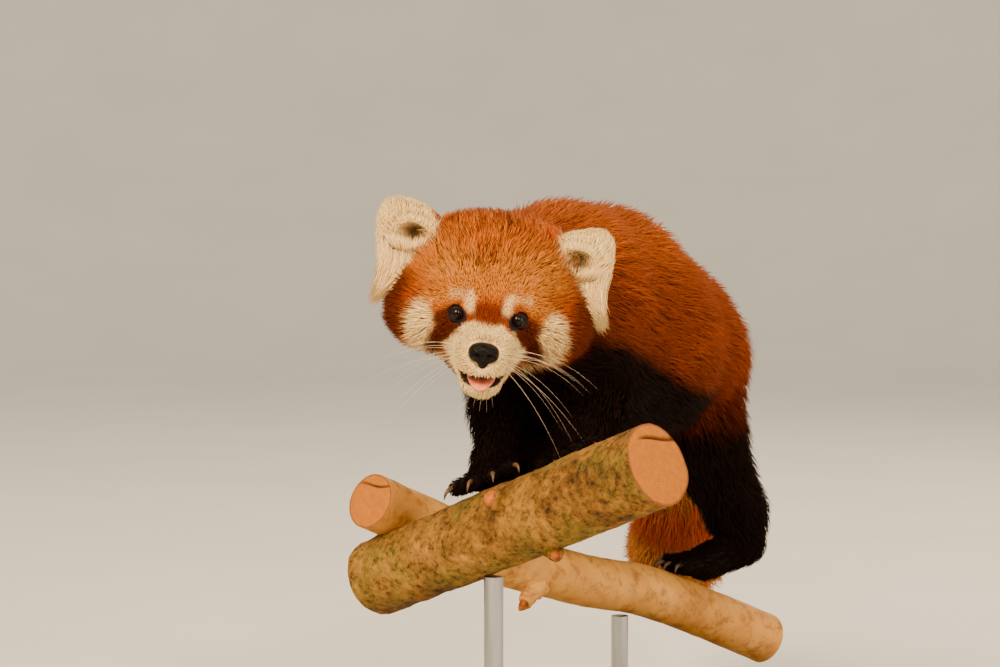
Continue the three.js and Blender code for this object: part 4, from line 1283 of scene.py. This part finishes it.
def curve_points(points, count):
    """Even points on a smooth curve through a few points (Catmull-Rom)"""
    pts = np.asarray(points, float)
    ends = np.concatenate([[2 * pts[0] - pts[1]], pts, [2 * pts[-1] - pts[-2]]])
    made = []
    for n in range(len(pts) - 1):
        p0, p1, p2, p3 = ends[n : n + 4]
        for t in np.linspace(0, 1, 24, endpoint=n == len(pts) - 2):
            second, third = 2 * p0 - 5 * p1 + 4 * p2 - p3, 3 * p1 - p0 - 3 * p2 + p3
            made.append(0.5 * (2 * p1 + (p2 - p0) * t + second * t**2 + third * t**3))
    made = np.array(made)
    run = np.concatenate([[0], np.cumsum(np.linalg.norm(np.diff(made, axis=0), axis=1))])
    even = np.linspace(0, run[-1], count)
    return np.stack([np.interp(even, run, made[:, n]) for n in range(3)], axis=1)


def axes_along(path):
    """Two directions across each point of a path, carried along without turning"""
    tangent = unit(np.gradient(path, axis=0))
    side = unit(np.cross(tangent[0], vec(0.3, 0.2, 1)))
    sides = []
    for t in tangent:
        side = unit(side - t * (side @ t))
        sides.append(side)
    sides = np.array(sides)
    return sides, np.cross(tangent, sides)


def spokes(path, sides):
    """Unit directions out of each point of a path, all the way round it"""
    side, up = axes_along(path)
    turn = turns(sides)
    return np.cos(turn)[None, :, None] * side[:, None] + np.sin(turn)[None, :, None] * up[:, None]


def rod_rings(path, radii, sides):
    return path[:, None] + spokes(path, sides) * radii[:, None, None]


CLAW_POINTS = 14
# The claws of the left fore paw are moved down behind the front branch, as the photo hides them
CLAW_SHIFT = vec(0, 3, -5)


def build_claws():
    m = Nodes("claw_horn")
    m.colour(m.ramp(m.noise(160, 4), [(0.3, (0.025, 0.013, 0.007)), (0.75, (0.15, 0.075, 0.03))]))
    m.set(Roughness=0.35, Specular_IOR_Level=0.3)
    m.bump(m.noise(500, 3), 0.25, 0.0003)
    for name, limb in LIMBS.items():
        toe = limb["toe_radius"]
        claws = []
        for knuckle, tip in toe_lines(limb):
            out = unit(tip - knuckle)
            tip = tip + (CLAW_SHIFT if name == "foreleg_left" else 0)
            steps_out = ((toe * 0.2, 1.2), (toe + 0.5, 1.2), (toe + 3.4, -1.0), (toe + 5.0, -5.0))
            path = curve_points([tip + out * reach + vec(0, 0, z) for reach, z in steps_out], CLAW_POINTS)
            radii = 1.8 * (1 - np.linspace(0, 1, CLAW_POINTS) ** 1.8) + 0.2
            claws.append(ring_mesh(rod_rings(path, radii, 10), True, True))
        make_object("claws_" + name.replace("leg", "paw"), *merged(claws), m.material, "coat_black")


WHISKER_RADIUS = 0.12


def build_whiskers():
    m = Nodes("whisker")
    m.colour(m.ramp(m.noise(80, 2), [(0.3, (0.50, 0.38, 0.24)), (0.7, (0.78, 0.64, 0.44))]))
    m.set(Roughness=0.35)
    whiskers = []

    def whisker(root, out, droop, length):
        t = np.linspace(0, 1, 9)[:, None]
        path = to_world(root + unit(out) * length * t + vec(0, 0, -1) * droop * length * t**2)
        rings = rod_rings(path, WHISKER_RADIUS * (1 - 0.86 * t[:, 0]), 4)
        whiskers.append(ring_mesh(rings, True, True))

    for side in (1, -1):
        for row in range(4):
            for n in range(3):
                root = vec(side * (14 + 2.6 * n + 0.6 * row), -82 + 6.0 * n, -38.5 - 3.6 * row + 0.6 * n)
                wobble = rng.normal(size=3) * vec(0.10, 0.16, 0.13)
                out = vec(side * (0.88 + 0.05 * n), 0.05 + 0.14 * n, 0.20 - 0.22 * row) + wobble
                whisker(root, out, 0.32 + 0.2 * rng.uniform(), rng.uniform(40, 76) - 2.5 * n)
        for n in range(4):
            root = vec(side * (15 + 3 * n), -50 + 2 * n, -4 + 1.5 * n)
            whisker(root, vec(side * (0.3 + 0.15 * n), -0.35, 0.8), -0.1, rng.uniform(12, 20))
    for n in range(6):
        root = vec(-8 + 3.2 * n, -66 + 6 * rng.uniform(), -69)
        whisker(root, vec(0.12 * (n - 3), -0.35, -0.8), 0.1, rng.uniform(9, 15))
    make_object("whiskers", *merged(whiskers), m.material, "coat_cream")


# Long white hair that hangs from the outer edge of each ear, and stands inside its lower half


def fringe(name, path, normals, width, chart, material):
    """A piece of loose tufts with its own paths, all white"""
    count = len(path)
    twist = rng.uniform(-0.6, 0.6, count)
    obj, along = tuft_object(name, path, normals, width, twist, chart, material, "coat_cream")
    shade = rng.uniform(0.86, 1.05, count)[:, None, None]
    # Painted shade and light: each white tuft is darker at its root and lighter towards its tip
    paint(obj, np.clip(WHITE * (0.8 + 0.25 * along)[None, :, None] * shade, 0, 1).reshape(-1, 3))


TUFT_TIP = vec(85, 2, -22)
HANGING = 1900
STANDING = 420


def build_ear_tufts(material):
    for side, name in ((1, "left"), (-1, "right")):
        turn = ear_turn(side)
        count, inner = HANGING, STANDING
        angle = np.radians(rng.triangular(-160, -55, 12, count))
        angle = np.where(rng.uniform(0, 1, count) < 0.35, np.radians(rng.uniform(-150, -60, count)), angle)
        share = rng.uniform(0.36 + 0.2 * np.cos(angle) ** 2, 0.98)
        deep = np.maximum(10 * share**3 - 12.5, -8.5)
        rim = np.stack([side * 25 * share * np.cos(angle), deep, 2 + 24 * share * np.sin(angle)], axis=1)
        root = (rim + rng.normal(size=(count, 3)) * vec(1, 0.7, 1)) @ turn.T + EARS[side]
        end = TUFT_TIP * vec(side, 1, 1) + rng.normal(size=(count, 3)) * vec(1.8, 2.5, 3)
        end = root + (end - root) * rng.uniform(0.4, 1.06, (count, 1))
        out = unit(vec(side * 0.75, -0.65, 0.1))
        t = np.linspace(0, 1, 4)[None, :, None]
        bow = vec(-side * 3.5, -3.5, 0) * np.sin(np.pi * t)
        path = to_world(root[:, None] * (1 - t) + end[:, None] * t + bow)
        normals = np.tile(out @ HEAD_TURN.T, (count, 4, 1))
        chart = framed(0.5 + angle / 6, share)
        fringe(f"ear_tuft_{name}", path, normals, rng.uniform(0.7, 1.15, count), chart, material)
        across = rng.uniform(-1, 1, inner)
        ahead = -10 + 5 * rng.uniform(size=inner)
        low = np.stack([13 * across - side * 4, ahead, -9 + 4 * np.abs(across)], axis=1)
        rise = np.stack([0.55 * across, 0 * across - 0.25, 0 * across + 1], axis=1)
        rise = unit(rise + 0.14 * rng.normal(size=(inner, 3)))
        length = rng.uniform(6, 14, inner)
        path = low[:, None] + rise[:, None] * length[:, None, None] * np.linspace(0, 1, 3)[None, :, None]
        path = to_world(path @ turn.T + EARS[side])
        normals = np.tile(vec(0, -1, 0) @ turn.T @ HEAD_TURN.T, (inner, 3, 1))
        chart = framed(0.5 + 0.45 * across, rng.uniform(0, 1, inner))
        fringe(f"ear_inside_{name}", path, normals, rng.uniform(0.5, 0.8, inner), chart, material)


# Branches and stand


def wood_materials():
    bark = Nodes("bark")
    patches = bark.ramp(bark.noise(24, 9, 0.75), [
        (0.30, (0.055, 0.023, 0.004)), (0.42, (0.140, 0.062, 0.008)), (0.52, (0.290, 0.135, 0.017)),
        (0.64, (0.430, 0.215, 0.034)), (0.78, (0.560, 0.320, 0.075)),
    ])
    moss = bark.ramp(bark.noise(15, 6, 0.7), [(0.50, (0, 0, 0)), (0.60, (0.65, 0.65, 0.65))])
    green = bark.mix(moss, patches, (0.200, 0.150, 0.014))
    stops = [(0.38, (0.22, 0.17, 0.13)), (0.50, (0.95, 0.92, 0.88)), (0.66, (1.5, 1.4, 1.2))]
    flecks = bark.ramp(bark.noise(170, 8, 0.78), stops)
    bark.colour(bark.mix(1.0, green, flecks, "MULTIPLY"))
    bark.set(Roughness=0.85, Specular_IOR_Level=0.2)
    bark.bump(bark.noise(150, 9, 0.8), 1.0, 0.004)
    tan = Nodes("smooth_wood")
    base = tan.ramp(tan.noise(20, 6, 0.6), [
        (0.28, (0.29, 0.105, 0.013)), (0.42, (0.46, 0.195, 0.028)),
        (0.60, (0.58, 0.275, 0.048)), (0.80, (0.68, 0.380, 0.090)),
    ])
    stains = tan.ramp(tan.noise(70, 6, 0.7), [(0.36, (0.45, 0.36, 0.28)), (0.5, (1.0, 1.0, 1.0))])
    tan.colour(tan.mix(0.8, base, stains, "MULTIPLY"))
    tan.set(Roughness=0.62, Specular_IOR_Level=0.3)
    tan.bump(tan.noise(120, 6, 0.65), 0.45, 0.0012)
    cut = Nodes("cut_wood")
    grain = cut.ramp(cut.noise(240, 5, 0.7), [(0.3, (0.78, 0.72, 0.66)), (0.7, (1.1, 1.08, 1.05))])
    cut.colour(cut.mix(1.0, cut.painted(), grain, "MULTIPLY"))
    cut.set(Roughness=0.75, Specular_IOR_Level=0.3)
    cut.bump(cut.noise(420, 5, 0.6), 0.5, 0.0008)
    stub = Nodes("stub_wood")
    stops = [(0.38, (0.09, 0.022, 0.005)), (0.5, (0.34, 0.085, 0.008)), (0.62, (0.56, 0.16, 0.010))]
    stub.colour(stub.ramp(stub.noise(110, 7, 0.75), stops))
    stub.set(Roughness=0.7, Specular_IOR_Level=0.2)
    stub.bump(stub.noise(260, 6, 0.7), 0.8, 0.0015)
    return bark.material, tan.material, cut.material, stub.material


CUT_TONE = vec(0.42, 0.130, 0.002)
CUT_EDGE = vec(0.20, 0.055, 0.008)
CUT_PITH = vec(0.34, 0.10, 0.003)
YEARS = 15


def cut_face(name, centre, axis, outline, cut, slot):
    """A sawn end with its rings, a crack and a slightly domed face"""
    count = len(outline)
    rings, tones = [], []
    radius = np.linalg.norm(outline - centre, axis=1).mean()
    pith = centre + 0.12 * (outline[0] - centre)
    turn = turns(count)
    for s in np.linspace(1, 0, 60)[:-1]:
        middle = centre + (pith - centre) * (1 - s)
        spoke = middle + (outline - centre) * s
        rel = spoke - centre
        chord = rel[:, 2] - 0.56 * radius + 0.05 * radius * np.sin(rel[:, 0] / radius * 5)
        crack = np.exp(-((chord / (0.035 * radius)) ** 2)) * smooth(rel[:, 0] / radius, -0.55, -0.2)
        dome = 0.8 * (1 - s**6) - 0.09 * radius * crack
        rings.append(spoke + axis * dome[:, None])
        year = 0.5 + 0.5 * np.sin(s * 2 * np.pi * YEARS + 0.8 * np.sin(3 * turn) + 0.5 * np.sin(7 * turn))
        tone = CUT_TONE * (0.84 + 0.16 * year[:, None])
        # Painted shade: the face is darker along the crack, which the dome also sinks as a groove
        tone = tone * (1 - 0.85 * crack[:, None])
        rim = smooth(np.full(count, s), 0.93, 0.97)[:, None]
        tones.append(tone * (1 - rim) + CUT_EDGE * rim)
    obj = make_object(name, *ring_mesh(rings, False, True), cut, slot)
    paint(obj, np.concatenate([*tones, [CUT_PITH]]))


def build_branch(name, path, radii, sides, rough, knots, material, cut, replaced, slot):
    """A branch with its bark, knots and two sawn ends"""
    out = spokes(path, sides)
    plain = path[:, None] + out * radii[:, None, None]
    flat = plain.reshape(-1, 3)
    bumps = rough[0] * noise(flat, 45, 71) + rough[1] * noise(flat, 13, 72) + rough[2] * noise(flat, 4.5, 73)
    for place, reach, height in knots:
        away = np.linalg.norm(flat - place, axis=1)
        bumps = bumps + height * np.exp(-((away / reach) ** 2))
        bumps = bumps - 0.6 * height * np.exp(-((away / (0.4 * reach)) ** 2))
    rings = plain + out * bumps.reshape(len(path), sides, 1)
    obj = make_object(name, *ring_mesh(rings), material, slot)
    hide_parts(replaced)
    tangent = unit(np.gradient(path, axis=0))
    cut_face(name + "_end_a", path[-1], tangent[-1], rings[-1], cut, slot)
    cut_face(name + "_end_b", path[0], -tangent[0], rings[0][::-1], cut, slot)


STUB_RINGS = 20
STUB_SIDES = 28


def build_stub(name, a, b, radius, bark, heart, slot):
    """The rounded stub of a twig that stands out of a collar of bark"""
    t = np.linspace(0, 1, STUB_RINGS)
    collar = radius * (2.2 - 0.95 * smooth(t, 0, 0.75)) * (1 - 0.5 * smooth(t, 0.88, 1))
    core = 0.92 * radius * np.sqrt(1 - smooth(t, 0.66, 1.03) ** 2)
    for part, reach, radii, material in (("collar", 0.8, collar, bark), ("heart", 1.0, core, heart)):
        path = a + (b - a) * reach * t[:, None]
        rings = rod_rings(path, radii, STUB_SIDES)
        flat = rings.reshape(-1, 3)
        bumps = 1.2 * noise(flat, 7, 75) + 0.6 * noise(flat, 2.6, 76)
        bumps = bumps * np.repeat(radii / radius, STUB_SIDES)
        rings = rings + unit(rings - path[:, None]) * bumps.reshape(STUB_RINGS, STUB_SIDES, 1)
        make_object(f"{name}_{part}", *ring_mesh(rings, False, True), material, slot)


FRONT_RINGS = 150
REAR_RINGS = 170


def build_branches():
    bark, tan, cut, heart = wood_materials()
    path = FRONT_AXIS[0] + (FRONT_AXIS[1] - FRONT_AXIS[0]) * np.linspace(0, 1, FRONT_RINGS)[:, None]
    radii = np.linspace(*FRONT_RADII, FRONT_RINGS) - 0.6
    knots = [(vec(-5, -8, -120), 9, 2.0), (vec(34, -30, -146), 10, 2.4), (vec(60, -92, -92), 8, 1.4)]
    rough = (1.0, 0.7, 0.45)
    build_branch("front_branch", path, radii, 96, rough, knots, bark, cut, "branch_front", "bark")
    path = curve_points(REAR_AXIS, REAR_RINGS)
    radii = np.linspace(*REAR_RADII, REAR_RINGS) - 0.4
    knots = [(vec(10, 130, -182), 8, 1.6), (vec(128, 243, -226), 9, 1.8), (vec(60, 178, -205), 7, 1.2)]
    rough = (0.8, 0.35, 0.12)
    build_branch("rear_branch", path, radii, 80, rough, knots, tan, cut, "branch_rear", "smooth_wood")
    build_stub("front_stub_a", vec(5, -44, -120), vec(-10, -55, -110), 6.2, bark, heart, "bark")
    build_stub("front_stub_b", vec(35, -40, -144), vec(41, -62, -155), 5.3, bark, heart, "bark")
    build_stub("rear_stub", vec(30, 158, -205), vec(15, 124, -221), 4.6, tan, heart, "smooth_wood")


ROD_SIDES = 48
FLOOR_SIDES = 96


def circle(count):
    turn = turns(count)
    return np.stack([np.cos(turn), np.sin(turn), 0 * turn], axis=1)


def lathe(name, profile, centre, material, slot):
    """A turned piece that stands upright: (radius, height) pairs"""
    rings = [vec(centre[0], centre[1], z) + circle(ROD_SIDES) * r for r, z in profile]
    return make_object(name, *ring_mesh(rings, True, True), material, slot, smooth_shaded=False)


def box_of(node):
    """Corners of a solid's box, in millimetres"""
    return (np.array(c) * 1000 + BASE_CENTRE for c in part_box(node))


def build_stand():
    board = Nodes("stand_board")
    stops = [(0.3, (0.012, 0.012, 0.013)), (0.7, (0.030, 0.030, 0.033))]
    board.colour(board.ramp(board.noise(30, 6, 0.6, (1, 14, 1)), stops))
    board.set(Roughness=0.5, Specular_IOR_Level=0.4)
    board.bump(board.noise(220, 5, 0.6, (1, 9, 1)), 0.2, 0.0005)
    steel = Nodes("stand_rod")
    stops = [(0.3, (0.30, 0.30, 0.31)), (0.7, (0.45, 0.45, 0.46))]
    steel.colour(steel.ramp(steel.noise(200, 3, 0.5, (1, 1, 0.05)), stops))
    steel.set(Metallic=1.0, Roughness=0.34)
    low, high = box_of("stand_base")
    edge, corner = 3.0, 14.0
    west, south = low[:2] + corner
    east, north = high[:2] - corner
    bottom, top = low[2], high[2]
    levels = ((1.5, bottom), (0, bottom + 1.5), (0, top - edge), (0.9, top - 0.9), (edge, top))
    rings = []
    for inset, z in levels:
        ring = []
        for x, y, start in ((east, north, 0), (west, north, 90), (west, south, 180), (east, south, 270)):
            for a in np.radians(start + np.linspace(0, 90, 9)):
                ring.append(vec(x, y, z) + (corner - inset) * vec(np.cos(a), np.sin(a), 0))
        rings.append(np.array(ring))
    mesh = ring_mesh(rings, True, True)
    obj = make_object("display_board", *mesh, board.material, "stand_board", smooth_shaded=False)
    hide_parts("stand_base")
    for node in ("stand_rod_front", "stand_rod_rear"):
        a, b = box_of(node)
        radius = (b[0] - a[0]) / 2
        collar = [(6, 0), (6, 3), (4.5, 4.5), (0.6, 6), (0, 7)]
        profile = [(radius + out, a[2] + up) for out, up in collar] + [(radius, b[2] - 4)]
        rod = lathe(node.replace("stand_rod", "rod"), profile, (a + b) / 2, steel.material, "stand_rod")
        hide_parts(node)


# Room, light and camera


def build_room():
    """A round floor that curves up into a low wall"""
    m = Nodes("floor")
    m.colour(m.ramp(m.noise(3, 2), [(0.3, (0.74, 0.72, 0.69)), (0.7, (0.78, 0.76, 0.73))]))
    m.set(Roughness=0.9)
    reach, bend, height = 5.0, 3.0, 3.4
    profile = [(r, 0.0) for r in (0.01, 1.5, 3.0, reach)]
    profile += [(reach + bend * np.sin(a), height * (1 - np.cos(a))) for a in np.linspace(0.1, np.pi / 2, 16)]
    rings = [(circle(FLOOR_SIDES) * r + vec(0, 0, z - 0.001)) * 1000 + BASE_CENTRE for r, z in profile]
    verts, faces = ring_mesh(rings, True)
    mesh = bpy.data.meshes.new("floor")
    mesh.from_pydata(((verts - BASE_CENTRE) / 1000).tolist(), [], faces[:, ::-1].tolist())
    mesh.polygons.foreach_set("use_smooth", [True] * len(faces))
    mesh.materials.append(m.material)
    floor = bpy.data.objects.new("floor", mesh)
    bpy.context.scene.collection.objects.link(floor)


def area_light(name, place, target, size, power, colour):
    data = bpy.data.lights.new(name, "AREA")
    data.shape = "RECTANGLE"
    data.size, data.size_y = size
    data.energy = power
    data.color = colour
    obj = bpy.data.objects.new(name, data)
    obj.location = place
    obj.rotation_euler = (Vector(target) - Vector(place)).to_track_quat("-Z", "Y").to_euler()
    bpy.context.scene.collection.objects.link(obj)


def build_light():
    middle = (0.0, -0.1, 0.4)
    area_light("key", (-1.3, -2.2, 2.3), middle, (1.2, 1.2), 180, (1.0, 0.78, 0.50))
    area_light("fill", (2.4, -1.8, 1.1), middle, (1.8, 1.8), 52, (1.0, 0.82, 0.60))
    area_light("rim", (1.2, 2.2, 2.4), middle, (1.4, 1.2), 60, (1.0, 0.76, 0.50))
    area_light("spark", (0.45, -2.0, 1.5), middle, (0.18, 0.18), 26, (1.0, 0.84, 0.62))
    world = bpy.data.worlds.new("studio")
    world.use_nodes = True
    world.node_tree.nodes["Background"].inputs["Color"].default_value = (1.0, 0.86, 0.68, 1)
    world.node_tree.nodes["Background"].inputs["Strength"].default_value = 0.85
    bpy.context.scene.world = world


VIEW_DISTANCE = 1800.0
VIEW_DIP = np.radians(3)
LENS = 90.0


def build_camera():
    look = vec(0, np.cos(VIEW_DIP), -np.sin(VIEW_DIP))
    data = bpy.data.cameras.new("camera")
    data.lens = LENS
    data.sensor_width = 36
    camera = bpy.data.objects.new("camera", data)
    camera.location = (-look * VIEW_DISTANCE - BASE_CENTRE) / 1000
    camera.rotation_euler = Vector(look).to_track_quat("-Z", "Y").to_euler()
    bpy.context.scene.collection.objects.link(camera)
    bpy.context.scene.camera = camera


def build_animal():
    verts, quads = build_skin()
    skin = make_object("skin", verts, quads, skin_material(), "coat_rust")
    paint(skin, skin_colour(verts, parts_at(verts)))
    starts = ("head", "neck", "torso", "ear_", "fore", "hind", "tail")
    flesh = [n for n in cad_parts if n.startswith(starts)]
    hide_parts("lower_jaw", *sorted(flesh))
    build_coat(verts, quads)
    build_ear_tufts(bpy.data.materials["short_coat"])
    build_eyes()
    build_nose()
    build_tongue()
    build_claws()
    build_whiskers()


build_camera()
build_animal()
build_branches()
build_stand()
build_room()
build_light()
